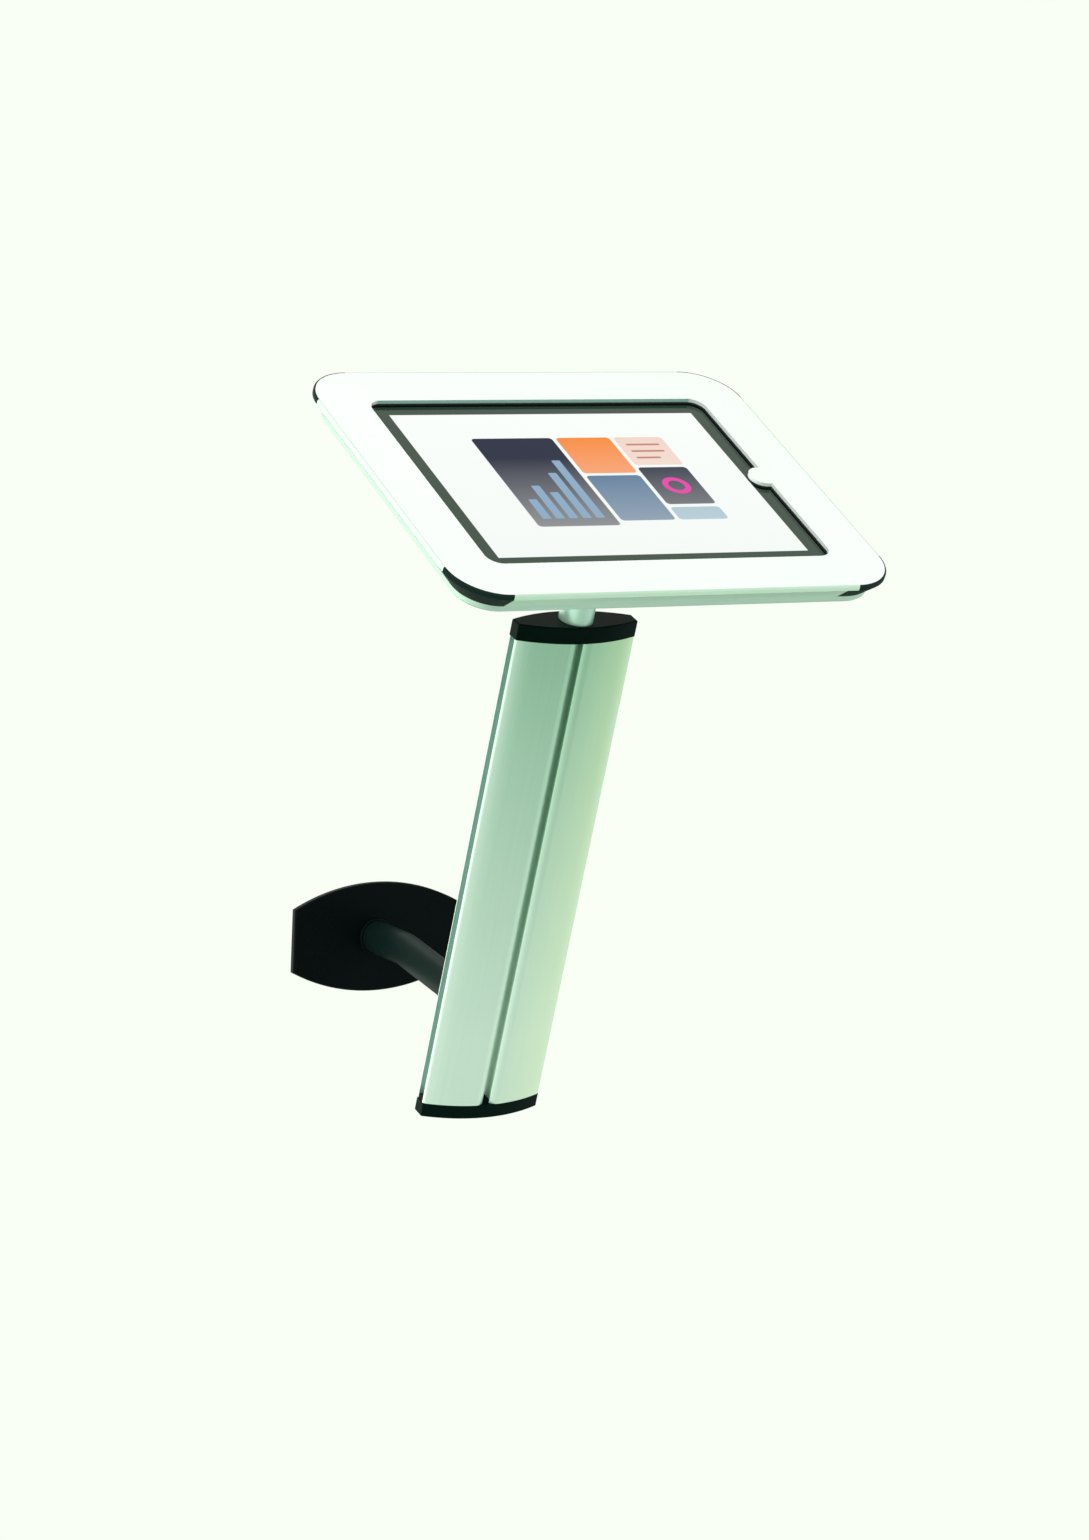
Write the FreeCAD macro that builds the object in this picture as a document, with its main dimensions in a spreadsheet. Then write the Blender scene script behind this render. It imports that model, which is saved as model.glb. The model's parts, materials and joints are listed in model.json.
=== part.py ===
import FreeCAD, Part
import math
import os
import re
import Sketcher

# Wall-mounted holder for a 9.7-inch tablet: a lens-shaped wall plate, a bent round arm, a leaning
# aluminium column with a cap at each end, a neck with a tilt joint, a swivel, and a flat enclosure
# with black corner pieces round the tablet.
# The origin is the centre of the wall plate's back. The wall is the plane y = 0, the holder reaches
# out along -Y, X runs along the wall and Z is up. Lengths are in millimetres, angles in degrees.
sizes = {
    # wall plate
    "plateWidth": 112,
    "plateHeight": 67.5,
    "plateEnd": 39,
    "plateThickness": 4,
    "plateBevel": 0.8,
    "wallHoleAcross": 80,
    "wallHoleUp": 30,
    "wallHoleDiameter": 5.5,
    "wallHoleSink": 10.5,
    "coverThickness": 1.6,
    # arm
    "tubeDiameter": 20,
    "tubeWall": 2,
    "stubLength": 38,
    "armDrop": 9.2,
    "armBend": 40,
    "armReach": 115.6,
    # column, an extruded profile that leans back from the wall
    "columnLean": 17,
    "columnWidth": 77.4,
    "columnDepth": 24.2,
    "columnEnd": 7.8,
    "profileLength": 300,
    "columnRise": 257.7,
    "profileWall": 2,
    "slotMouth": 4.4,
    "slotFlareWidth": 5,
    "slotFlareDepth": 2,
    "slotLip": 1.6,
    "slotWidth": 8.4,
    "slotDepth": 2.8,
    "channelWidth": 5.4,
    "channelDepth": 3,
    "coreBore": 8,
    "noseRounding": 1.6,
    "mouthRounding": 0.4,
    # caps
    "topCap": 10,
    "bottomCap": 9,
    "capBevel": 0.7,
    "plugLength": 12,
    "plugGap": 0.2,
    "channelLug": 4,
    "slotLug": 3.5,
    "lugSetBack": 0.3,
    "lugRoot": 1,
    # saddle between arm and column
    "saddleWidth": 40,
    "saddleHeight": 68,
    "saddleThickness": 8,
    "saddleCorner": 8,
    "saddleBevel": 1.2,
    "seatGap": 0.1,
    "bossDiameter": 30,
    "bossLength": 24,
    "tubeStop": 17,
    "saddleScrewPitch": 52,
    "saddleScrew": 4,
    "saddleScrewHead": 7,
    "saddleHexKey": 3,
    "slotNutLength": 12,
    "slotNutThickness": 2.4,
    # neck and tilt joint
    "neckDiameter": 20,
    "neckLength": 27,
    "studDepth": 50,
    "studRise": 12,
    "flangeThickness": 3,
    "spigotDiameter": 10,
    "spigotLength": 10,
    "tongueThickness": 10,
    "tongueStep": 1,
    "pivotRise": 42,
    "pinDiameter": 8,
    "pinHead": 13,
    "pinHeadThickness": 4,
    "pinHexKey": 5,
    "pinNut": 13,
    "pinNutThickness": 6.5,
    "pinTip": 1.5,
    "pinBevel": 1,
    "washerThickness": 0.8,
    "washerDiameter": 18,
    "earThickness": 6,
    "earFlare": 6,
    "forkDiameter": 52,
    "forkThickness": 6,
    # swivel
    "headTilt": 8.5,
    "pivotForward": 11.3,
    "pivotDepth": 38.5,
    "swivelPlateDiameter": 80,
    "swivelPlateThickness": 6,
    "swivelPlateBevel": 1,
    "swivelSink": 4,
    "swivelSinkDiameter": 20,
    "shoulderDiameter": 12,
    "swivelThread": 10,
    "swivelHead": 17,
    "swivelHeadThickness": 2.4,
    "springDiameter": 19,
    "springThickness": 0.9,
    "frictionDiameter": 48,
    "frictionThickness": 0.9,
    "swivelScrewCircle": 60,
    "swivelScrew": 4,
    "swivelScrewHead": 8.2,
    "swivelScrewLength": 8,
    # enclosure
    "enclosureWidth": 277.4,
    "enclosureHeight": 231.4,
    "enclosureCorner": 29.6,
    "panelThickness": 3,
    "lipWidth": 1,
    "lipBevel": 0.5,
    "lipBevelDrop": 0.8,
    "railDepth": 15,
    "railWall": 1.6,
    "taperRun": 8,
    "taperDrop": 9,
    "trayThickness": 4,
    "trayRecess": 1,
    "trayBevel": 1.1,
    "cornerTongue": 7,
    "cornerSpigot": 15,
    "cornerScrewInset": 12.6,
    "cornerScrew": 3,
    "cornerScrewHead": 6,
    "cornerScrewHeadThickness": 2,
    "cornerScrewDepth": 5,
    "openingMarginAcross": 7.6,
    "openingMarginUp": 7.5,
    "openingCorner": 9,
    "tabRadius": 8.5,
    "tabReach": 10.3,
    # tablet, which fits between the rails
    "sideClearance": 3.1,
    "endClearance": 7.85,
    "borderAcross": 19.1,
    "borderUp": 15.85,
    "displayThickness": 2.5,
    "tabletThickness": 8.8,
    "tabletCorner": 12,
    "tabletBevel": 3,
    "tabletWall": 1.2,
    "panelGap": 0.2,
    "glassThickness": 1.2,
    "batteryWidth": 62,
    "batteryHeight": 120,
    "batteryThickness": 3,
    "batteryPitch": 64,
    "buttonDiameter": 11,
    "buttonFlange": 1,
    "buttonInset": 11,
    "buttonRecess": 0.3,
    "buttonFlangeThickness": 0.6,
    # cushions
    "padWidth": 40,
    "padHeight": 25,
    "padPitchAcross": 160,
    "padPitchUp": 120,
    "bumperLength": 24,
    "bumperRise": 8,
    "bumperPitchAcross": 150,
    "bumperPitchUp": 110,
    # clearances
    "fitGap": 0.05,
    "slipGap": 0.1,
    "railGap": 0.15,
    "cutBeyond": 1,
}

doc = FreeCAD.newDocument("TabletHolder")
sheet = doc.addObject("Spreadsheet::Sheet", "Sizes")
for row, (name, number) in enumerate(sizes.items(), 1):
    sheet.set("A%d" % row, name)
    sheet.set("B%d" % row, str(number))
    sheet.setAlias("B%d" % row, name)
doc.recompute()

# Lengths that several sub-parts share, worked out from the sizes.
columnArc = "((columnWidth^2 + (columnDepth - columnEnd)^2) / (4 * (columnDepth - columnEnd)))"
plateArc = "((plateWidth^2 + (plateHeight - plateEnd)^2) / (4 * (plateHeight - plateEnd)))"
profileTop = "(columnRise - topCap)"
profileBottom = "(columnRise - topCap - profileLength)"
flareEdge = "(slotMouth/2 + slotFlareWidth)"
flareArc = "((slotFlareWidth^2 + slotFlareDepth^2) / (2 * slotFlareDepth))"
flareTop = "(sqrt(%s^2 - %s^2) - (%s - columnDepth/2))" % (columnArc, flareEdge, columnArc)
slotTop = "(columnDepth/2 - slotFlareDepth - slotLip)"
saddleBack = "(columnDepth/2 + saddleThickness)"
armToColumn = "(columnLean - armDrop)"
bendTangent = "(armBend * tan(armDrop/2))"
elbow = "(plateThickness + stubLength)"
earStart = "(tongueThickness/2 + washerThickness + 2*fitGap)"
pinReach = "(tongueThickness/2 + washerThickness + 2*fitGap + earThickness)"
halfAcross = "(enclosureWidth/2)"
halfUp = "(enclosureHeight/2)"
cornerAcross = "(enclosureWidth/2 - enclosureCorner)"
cornerUp = "(enclosureHeight/2 - enclosureCorner)"
tabletAcross = "(enclosureWidth/2 - railDepth - sideClearance)"
tabletUp = "(enclosureHeight/2 - railDepth - endClearance)"
displayAcross = "(enclosureWidth/2 - railDepth - sideClearance - borderAcross)"
displayUp = "(enclosureHeight/2 - railDepth - endClearance - borderUp)"
openingAcross = "(enclosureWidth/2 - railDepth - sideClearance - borderAcross + openingMarginAcross)"
openingUp = "(enclosureHeight/2 - railDepth - endClearance - borderUp + openingMarginUp)"
buttonCentre = "(enclosureWidth/2 - railDepth - sideClearance - buttonInset)"
trayBottom = "(-taperDrop - trayThickness)"
trayFloor = "(-taperDrop - trayRecess)"
swivelPlateBottom = "(-taperDrop - trayThickness - swivelPlateThickness)"
sinkFloor = "(-taperDrop - trayThickness - swivelSink)"
forkTop = "(-taperDrop - trayThickness - swivelPlateThickness - frictionThickness - 2*fitGap)"
forkBottom = "(-taperDrop - trayThickness - swivelPlateThickness - frictionThickness - 2*fitGap - forkThickness)"
screwCircleStep = "(swivelScrewCircle/2 * sin(45))"
cornerScrewArm = "((enclosureCorner - cornerScrewInset) * sin(45))"
glassBottom = "(-panelGap - glassThickness)"
tabletBottom = "(-panelGap - tabletThickness)"


def link(text):
    # the expression with each size named as a cell of the sheet
    return re.sub(r"[A-Za-z]\w*", lambda word: ("Sizes." if word.group() in sizes else "") + word.group(), text)


def amount(text):
    return float(sheet.evalExpression(link(text)))


# The frames that the sub-parts stand in: the wall, the leaning column with its origin where the arm
# meets it, the tilt axis, and the head with its origin at the centre of the display.
frames = doc.addObject("App::FeaturePython", "Frames")
for name in ("wall", "column", "pivot", "head"):
    frames.addProperty("App::PropertyPlacement", name)


def shift(x, y, z, axis, angle):
    text = "placement(vector(%s; %s; %s); rotation(vector(%s); %s))" % (x, y, z, axis, angle)
    return link(text)


frames.setExpression("wall", shift("0", "0", "0", "1; 0; 0", "0"))
frames.setExpression("column", shift("0", "-%s - armReach*cos(armDrop)" % elbow, "-armReach*sin(armDrop)",
                                     "1; 0; 0", "columnLean"))
frames.setExpression("pivot", "Frames.column * " + shift("0", "0", "columnRise + pivotRise",
                                                         "1; 0; 0", "headTilt"))
frames.setExpression("head", "Frames.pivot * " + shift("0", "pivotForward", "pivotDepth", "1; 0; 0", "0"))
doc.recompute()

subparts = []


def newBody(label, frame, move=None):
    body = doc.addObject("PartDesign::Body", label)
    body.Label = label
    body.AllowCompound = True
    body.setExpression("Placement", "Frames." + frame + (" * " + move if move else ""))
    subparts.append(body)
    return body


def newSketch(body, plane, lift="0"):
    # a sketch on one of the body's origin planes, lifted along the plane's normal
    sketch = body.newObject("Sketcher::SketchObject", body.Name + "_sketch")
    support = [feature for feature in body.Origin.OriginFeatures if feature.Role == plane + "_Plane"]
    sketch.AttachmentSupport = [(support[0], "")]
    sketch.MapMode = "FlatFace"
    sketch.setExpression("AttachmentOffset.Base.z", link(lift))
    return sketch


def tie(sketch, piece, spot, x, y):
    # holds a point of the sketch at two expressions
    for kind, text, line in (("DistanceX", x, -2), ("DistanceY", y, -1)):
        if text == "0":
            sketch.addConstraint(Sketcher.Constraint("PointOnObject", piece, spot, line))
            continue
        index = sketch.addConstraint(Sketcher.Constraint(kind, -1, 1, piece, spot, amount(text)))
        sketch.setExpression("Constraints[%d]" % index, link(text))


def outline(sketch, points, closed=True):
    # Straight runs and arcs through the points. A third entry is the radius of the arc that leaves the
    # point, and a fourth says that the arc runs clockwise.
    places = [FreeCAD.Vector(amount(point[0]), amount(point[1]), 0) for point in points]
    count = len(points)
    runs = count if closed else count - 1
    ends = []
    for index in range(runs):
        start = places[index]
        finish = places[(index + 1) % count]
        point = points[index]
        if len(point) == 2:
            piece = sketch.addGeometry(Part.LineSegment(start, finish), False)
            ends.append((piece, 1, 2))
            continue
        clockwise = len(point) == 4
        radius = amount(point[2])
        chord = finish - start
        side = FreeCAD.Vector(-chord.y, chord.x, 0).normalize() * (-1 if clockwise else 1)
        centre = (start + finish) * 0.5 + side * math.sqrt(max(radius**2 - chord.Length**2 / 4, 0))
        first, last = (finish, start) if clockwise else (start, finish)
        turn = [math.atan2(spot.y - centre.y, spot.x - centre.x) for spot in (first, last)]
        circle = Part.Circle(centre, FreeCAD.Vector(0, 0, 1), radius)
        piece = sketch.addGeometry(Part.ArcOfCircle(circle, turn[0], turn[1]), False)
        ends.append((piece, 2, 1) if clockwise else (piece, 1, 2))
        index = sketch.addConstraint(Sketcher.Constraint("Radius", piece, radius))
        sketch.setExpression("Constraints[%d]" % index, link(point[2]))
    for index, (piece, start, finish) in enumerate(ends):
        if closed or index + 1 < runs:
            following = ends[(index + 1) % runs]
            sketch.addConstraint(Sketcher.Constraint("Coincident", piece, finish, following[0], following[1]))
        tie(sketch, piece, start, points[index][0], points[index][1])
    if not closed:
        tie(sketch, ends[-1][0], ends[-1][2], points[-1][0], points[-1][1])


def circle(sketch, x, y, radius):
    shape = Part.Circle(FreeCAD.Vector(amount(x), amount(y), 0), FreeCAD.Vector(0, 0, 1), amount(radius))
    piece = sketch.addGeometry(shape, False)
    index = sketch.addConstraint(Sketcher.Constraint("Radius", piece, amount(radius)))
    sketch.setExpression("Constraints[%d]" % index, link(radius))
    tie(sketch, piece, 3, x, y)


def rounded(sketch, halfX, halfY, radius, x="0", y="0"):
    left, right = "%s - (%s)" % (x, halfX), "%s + (%s)" % (x, halfX)
    low, high = "%s - (%s)" % (y, halfY), "%s + (%s)" % (y, halfY)
    outline(sketch, [
        (left + " + " + radius, low),
        (right + " - " + radius, low, radius),
        (right, low + " + " + radius),
        (right, high + " - " + radius, radius),
        (right + " - " + radius, high),
        (left + " + " + radius, high, radius),
        (left, high + " - " + radius),
        (left, low + " + " + radius, radius),
    ])


def block(sketch, halfX, halfY, x="0", y="0"):
    left, right = "%s - (%s)" % (x, halfX), "%s + (%s)" % (x, halfX)
    low, high = "%s - (%s)" % (y, halfY), "%s + (%s)" % (y, halfY)
    outline(sketch, [(left, low), (right, low), (right, high), (left, high)])


def lens(sketch, width, height, end, arc):
    # two flat arcs between square ends
    outline(sketch, [
        (width + "/2", "-" + end + "/2"),
        (width + "/2", end + "/2", arc),
        ("-" + width + "/2", end + "/2"),
        ("-" + width + "/2", "-" + end + "/2", arc),
    ])


def hexagon(sketch, x, y, acrossFlats):
    corners = []
    for turn in range(30, 390, 60):
        reach = "%s/(2*cos(30))" % acrossFlats
        corners.append(("%s + %s*cos(%d)" % (x, reach, turn), "%s + %s*sin(%d)" % (y, reach, turn)))
    outline(sketch, corners)


def pad(body, sketch, length, back=False, taper=None):
    feature = body.newObject("PartDesign::Pad", body.Name + "_pad")
    feature.Profile = sketch
    feature.setExpression("Length", link(length))
    feature.Reversed = back
    if taper:
        feature.TaperAngle = taper
    return feature


def pocket(body, sketch, depth, back=False, taper=None):
    # cuts against the sketch's normal, or along it when back is set
    feature = body.newObject("PartDesign::Pocket", body.Name + "_pocket")
    feature.Profile = sketch
    feature.setExpression("Length", link(depth))
    feature.Reversed = back
    if taper:
        feature.TaperAngle = taper
    return feature


def edgesOf(feature, test):
    doc.recompute()
    return ["Edge%d" % number for number, edge in enumerate(feature.Shape.Edges, 1) if test(edge)]


def fillet(body, feature, test, radius):
    edges = edgesOf(feature, test)
    rounding = body.newObject("PartDesign::Fillet", body.Name + "_fillet")
    rounding.Base = (feature, edges)
    rounding.setExpression("Radius", link(radius))
    return rounding


def chamfer(body, feature, test, size):
    edges = edgesOf(feature, test)
    bevel = body.newObject("PartDesign::Chamfer", body.Name + "_chamfer")
    bevel.Base = (feature, edges)
    bevel.setExpression("Size", link(size))
    return bevel


def near(a, b):
    return abs(a - b) < 1e-4


# Wall plate: a lens cut off square at both ends, with four countersunk holes.
def makeWallPlate():
    body = newBody("wall_plate", "wall")
    sketch = newSketch(body, "XZ")
    lens(sketch, "plateWidth", "plateHeight", "plateEnd", plateArc)
    plate = pad(body, sketch, "plateThickness")
    front = -amount("plateThickness")
    chamfer(body, plate, lambda edge: near(edge.CenterOfMass.y, front), "plateBevel")
    holes = newSketch(body, "XZ", "plateThickness")
    sinks = newSketch(body, "XZ", "plateThickness")
    for across in ("-wallHoleAcross/2", "wallHoleAcross/2"):
        for up in ("-wallHoleUp/2", "wallHoleUp/2"):
            circle(holes, across, up, "wallHoleDiameter/2")
            circle(sinks, across, up, "wallHoleSink/2")
    pocket(body, holes, "plateThickness")
    pocket(body, sinks, "(wallHoleSink - wallHoleDiameter)/2", taper=-45)


# Cover discs that close the countersinks, flush with the plate's face.
def makeScrewCovers():
    body = newBody("screw_covers", "wall")
    sketch = newSketch(body, "XZ", "plateThickness")
    for across in ("-wallHoleAcross/2", "wallHoleAcross/2"):
        for up in ("-wallHoleUp/2", "wallHoleUp/2"):
            circle(sketch, across, up, "wallHoleSink/2 - slipGap")
    pad(body, sketch, "coverThickness", back=True, taper=-45)


# Arm: one round tube, square to the plate and then bent down towards the column.
def makeArm():
    body = newBody("arm_tube", "wall")
    ring = newSketch(body, "XZ", "plateThickness")
    circle(ring, "0", "0", "tubeDiameter/2")
    circle(ring, "0", "0", "tubeDiameter/2 - tubeWall")
    route = newSketch(body, "YZ")
    run = "(armReach - tubeStop)"
    outline(route, [
        ("-plateThickness", "0"),
        ("-%s + %s" % (elbow, bendTangent), "0", "armBend"),
        ("-%s - %s*cos(armDrop)" % (elbow, bendTangent), "-%s*sin(armDrop)" % bendTangent),
        ("-%s - %s*cos(armDrop)" % (elbow, run), "-%s*sin(armDrop)" % run),
    ], closed=False)
    pipe = body.newObject("PartDesign::AdditivePipe", "arm_tube_pipe")
    pipe.Profile = ring
    pipe.Spine = (route, ["Edge1", "Edge2", "Edge3"])


# Saddle: a pad whose face follows the column's back, with a socket for the arm's end.
def makeSaddle():
    body = newBody("column_saddle", "column")
    sketch = newSketch(body, "XY", "-saddleHeight/2")
    seat = "(%s + seatGap)" % columnArc
    seatEdge = "sqrt(%s^2 - (saddleWidth/2)^2) - (%s - columnDepth/2)" % (seat, columnArc)
    outline(sketch, [
        ("-saddleWidth/2", seatEdge, seat, "clockwise"),
        ("saddleWidth/2", seatEdge),
        ("saddleWidth/2", saddleBack),
        ("-saddleWidth/2", saddleBack),
    ])
    saddle = pad(body, sketch, "saddleHeight")
    side = amount("saddleWidth/2")
    high = amount("saddleHeight/2")
    back = amount(saddleBack)
    saddle = fillet(body, saddle, lambda edge: near(abs(edge.CenterOfMass.x), side)
                    and near(abs(edge.CenterOfMass.z), high), "saddleCorner")
    chamfer(body, saddle, lambda edge: near(edge.BoundBox.YMin, back)
            and near(edge.BoundBox.YMax, back), "saddleBevel")
    for radius, length, cut in (("bossDiameter/2", "bossLength", False),
                                ("tubeDiameter/2 + fitGap", "bossLength + cutBeyond", True)):
        sketch = newSketch(body, "XZ", "-tubeStop*cos(%s)" % armToColumn)
        sketch.AttachmentOffset = FreeCAD.Placement(sketch.AttachmentOffset.Base,
                                                    FreeCAD.Rotation(FreeCAD.Vector(1, 0, 0), -1))
        sketch.setExpression("AttachmentOffset.Base.y", link("-tubeStop*sin(%s)" % armToColumn))
        sketch.setExpression("AttachmentOffset.Rotation.Angle", link("-%s" % armToColumn))
        circle(sketch, "0", "0", radius)
        if cut:
            pocket(body, sketch, length)
        else:
            pad(body, sketch, length, back=True)
    holes = newSketch(body, "XZ")
    sinks = newSketch(body, "XZ", "-%s" % saddleBack)
    for up in ("-saddleScrewPitch/2", "saddleScrewPitch/2"):
        circle(holes, "0", up, "saddleScrew/2 + 2*slipGap")
        circle(sinks, "0", up, "saddleScrewHead/2 + 2*slipGap")
    pocket(body, holes, saddleBack)
    pocket(body, sinks, "saddleScrew", back=True)


def makeSaddleScrews():
    body = newBody("saddle_screws", "column")
    seat = "-%s + saddleScrew" % saddleBack
    heads = newSketch(body, "XZ", seat)
    shanks = newSketch(body, "XZ", seat)
    sockets = newSketch(body, "XZ", "-%s" % saddleBack)
    for up in ("-saddleScrewPitch/2", "saddleScrewPitch/2"):
        circle(heads, "0", up, "saddleScrewHead/2")
        circle(shanks, "0", up, "saddleScrew/2")
        hexagon(sockets, "0", up, "saddleHexKey")
    pad(body, heads, "saddleScrew", back=True)
    pad(body, shanks, "%s - saddleScrew - (%s - slotNutThickness)" % (saddleBack, slotTop))
    pocket(body, sockets, "saddleScrew/2", back=True)


def makeSlotNuts():
    body = newBody("slot_nuts", "column")
    sketch = newSketch(body, "XZ", "-" + slotTop)
    for up in ("-saddleScrewPitch/2", "saddleScrewPitch/2"):
        block(sketch, "(slotWidth/2 - 2*slipGap)", "slotNutLength/2", "0", up)
        circle(sketch, "0", up, "saddleScrew/2 + fitGap")
    pad(body, sketch, "slotNutThickness")


def chamber(sketch, side, gap="0"):
    # the hollow between the middle web and the end channel, or a plug for it
    inner = "(slotWidth/2 + profileWall + %s)" % gap
    outer = "(columnWidth/2 - channelDepth - profileWall - %s)" % gap
    arc = "(%s - profileWall - %s)" % (columnArc, gap)
    rise = "(sqrt(%s^2 - %s^2) - (%s - columnDepth/2))"
    innerRise = rise % (arc, inner, columnArc)
    outerRise = rise % (arc, outer, columnArc)
    if side > 0:
        outline(sketch, [
            (inner, "-" + innerRise, arc),
            (outer, "-" + outerRise),
            (outer, outerRise, arc),
            (inner, innerRise),
        ])
    else:
        outline(sketch, [
            ("-" + inner, innerRise, arc),
            ("-" + outer, outerRise),
            ("-" + outer, "-" + outerRise, arc),
            ("-" + inner, "-" + innerRise),
        ])


# Column: an extruded profile with a T-slot front and back whose lips curve inwards, an open channel
# in each narrow end, two long chambers and a bore in the middle web that takes the neck's stud.
def makeColumn():
    body = newBody("column_profile", "column")
    sketch = newSketch(body, "XY", profileBottom)
    lens(sketch, "columnWidth", "columnDepth", "columnEnd", columnArc)
    pad(body, sketch, "profileLength")
    sketch = newSketch(body, "XY", profileBottom)
    for side in ("-1", "1"):
        outside = "%s*(columnDepth/2 + cutBeyond)" % side
        rim = "%s*%s" % (side, flareTop)
        throat = "%s*(%s - slotFlareDepth)" % (side, flareTop)
        lip = "%s*%s" % (side, slotTop)
        floor = "%s*(%s - slotDepth)" % (side, slotTop)
        bend = (flareArc,) if side == "1" else (flareArc, "clockwise")
        outline(sketch, [
            ("-" + flareEdge, outside),
            (flareEdge, outside),
            (flareEdge, rim, *bend),
            ("slotMouth/2", throat),
            ("slotMouth/2", lip),
            ("slotWidth/2", lip),
            ("slotWidth/2", floor),
            ("-slotWidth/2", floor),
            ("-slotWidth/2", lip),
            ("-slotMouth/2", lip),
            ("-slotMouth/2", throat, *bend),
            ("-" + flareEdge, rim),
        ])
        outline(sketch, [
            ("%s*(columnWidth/2 - channelDepth)" % side, "-channelWidth/2"),
            ("%s*(columnWidth/2 + cutBeyond)" % side, "-channelWidth/2"),
            ("%s*(columnWidth/2 + cutBeyond)" % side, "channelWidth/2"),
            ("%s*(columnWidth/2 - channelDepth)" % side, "channelWidth/2"),
        ])
        chamber(sketch, int(side))
    circle(sketch, "0", "0", "coreBore/2")
    cut = pocket(body, sketch, "profileLength", back=True)
    length = amount("profileLength")
    nose = amount("columnWidth/2")
    noseSide = amount("columnEnd/2")
    mouth = amount("slotMouth/2")
    mouthEdge = amount(flareTop + " - slotFlareDepth")

    def alongProfile(edge, x, y):
        middle = edge.CenterOfMass
        return near(edge.Length, length) and near(abs(middle.x), x) and near(abs(middle.y), y)

    cut = fillet(body, cut, lambda edge: alongProfile(edge, nose, noseSide), "noseRounding")
    fillet(body, cut, lambda edge: alongProfile(edge, mouth, mouthEdge), "mouthRounding")


def makeTopCap():
    body = newBody("top_cap", "column")
    sketch = newSketch(body, "XY", profileTop)
    lens(sketch, "columnWidth", "columnDepth", "columnEnd", columnArc)
    cap = pad(body, sketch, "topCap")
    top = amount("columnRise")
    chamfer(body, cap, lambda edge: near(edge.CenterOfMass.z, top), "capBevel")
    plugs = newSketch(body, "XY", profileTop)
    for side in (-1, 1):
        chamber(plugs, side, "plugGap")
    pad(body, plugs, "plugLength", back=True)
    hole = newSketch(body, "XY", "columnRise")
    circle(hole, "0", "0", "coreBore/2 + slipGap")
    pocket(body, hole, "topCap")


# Bottom cap: like the top one, with a lug that closes each end channel and one in the front slot.
def makeBottomCap():
    body = newBody("bottom_cap", "column")
    sketch = newSketch(body, "XY", profileBottom + " - bottomCap")
    lens(sketch, "columnWidth", "columnDepth", "columnEnd", columnArc)
    cap = pad(body, sketch, "bottomCap")
    low = amount(profileBottom + " - bottomCap")
    chamfer(body, cap, lambda edge: near(edge.CenterOfMass.z, low), "capBevel")
    plugs = newSketch(body, "XY", profileBottom)
    for side in (-1, 1):
        chamber(plugs, side, "plugGap")
    pad(body, plugs, "plugLength")

    def lug(plane, lift, half, rise, depth, back):
        sketch = newSketch(body, plane, lift)
        shoulder = "%s + %s - %s" % (profileBottom, rise, half)
        outline(sketch, [
            ("-" + half, profileBottom + " - lugRoot"),
            (half, profileBottom + " - lugRoot"),
            (half, shoulder, half),
            ("0", "%s + %s" % (profileBottom, rise), half),
            ("-" + half, shoulder),
        ])
        pad(body, sketch, depth, back)

    channel = "(channelWidth/2 - plugGap)"
    channelLength = "channelDepth - plugGap - lugSetBack"
    lug("YZ", "columnWidth/2 - lugSetBack", channel, "channelLug", channelLength, True)
    lug("YZ", "-columnWidth/2 + lugSetBack", channel, "channelLug", channelLength, False)
    lug("XZ", "%s + slotLip - lugSetBack" % slotTop, "(slotMouth/2 - plugGap)", "slotLug",
        "slotLip + slotDepth - plugGap - lugSetBack", True)


# Neck: a stud in the column's core bore, a round bar on it and a knuckle on top.
def makeNeck():
    body = newBody("neck_stud", "column")
    sketch = newSketch(body, "XY", "columnRise - studDepth")
    circle(sketch, "0", "0", "coreBore/2 - fitGap")
    pad(body, sketch, "studDepth + studRise")
    body = newBody("neck_tube", "column")
    sketch = newSketch(body, "XY", "columnRise")
    circle(sketch, "0", "0", "neckDiameter/2")
    pad(body, sketch, "neckLength")
    low = newSketch(body, "XY", "columnRise")
    circle(low, "0", "0", "coreBore/2")
    pocket(body, low, "studRise + plugGap", back=True)
    high = newSketch(body, "XY", "columnRise + neckLength")
    circle(high, "0", "0", "spigotDiameter/2")
    pocket(body, high, "spigotLength + plugGap")


def makeKnuckle():
    body = newBody("neck_knuckle", "column")
    flangeBottom = "columnRise + neckLength"
    for radius, length, down in (("neckDiameter/2", "flangeThickness", False),
                                 ("spigotDiameter/2 - fitGap", "spigotLength", True)):
        sketch = newSketch(body, "XY", flangeBottom)
        circle(sketch, "0", "0", radius)
        pad(body, sketch, length, back=down)
    sketch = newSketch(body, "YZ", "-tongueThickness/2")
    tongue = "(neckDiameter/2 - tongueStep)"
    outline(sketch, [
        ("-" + tongue, flangeBottom + " + flangeThickness/2"),
        (tongue, flangeBottom + " + flangeThickness/2"),
        (tongue, "columnRise + pivotRise", tongue),
        ("0", "columnRise + pivotRise + " + tongue, tongue),
        ("-" + tongue, "columnRise + pivotRise"),
    ])
    circle(sketch, "0", "columnRise + pivotRise", "pinDiameter/2 + fitGap")
    pad(body, sketch, "tongueThickness")


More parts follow.
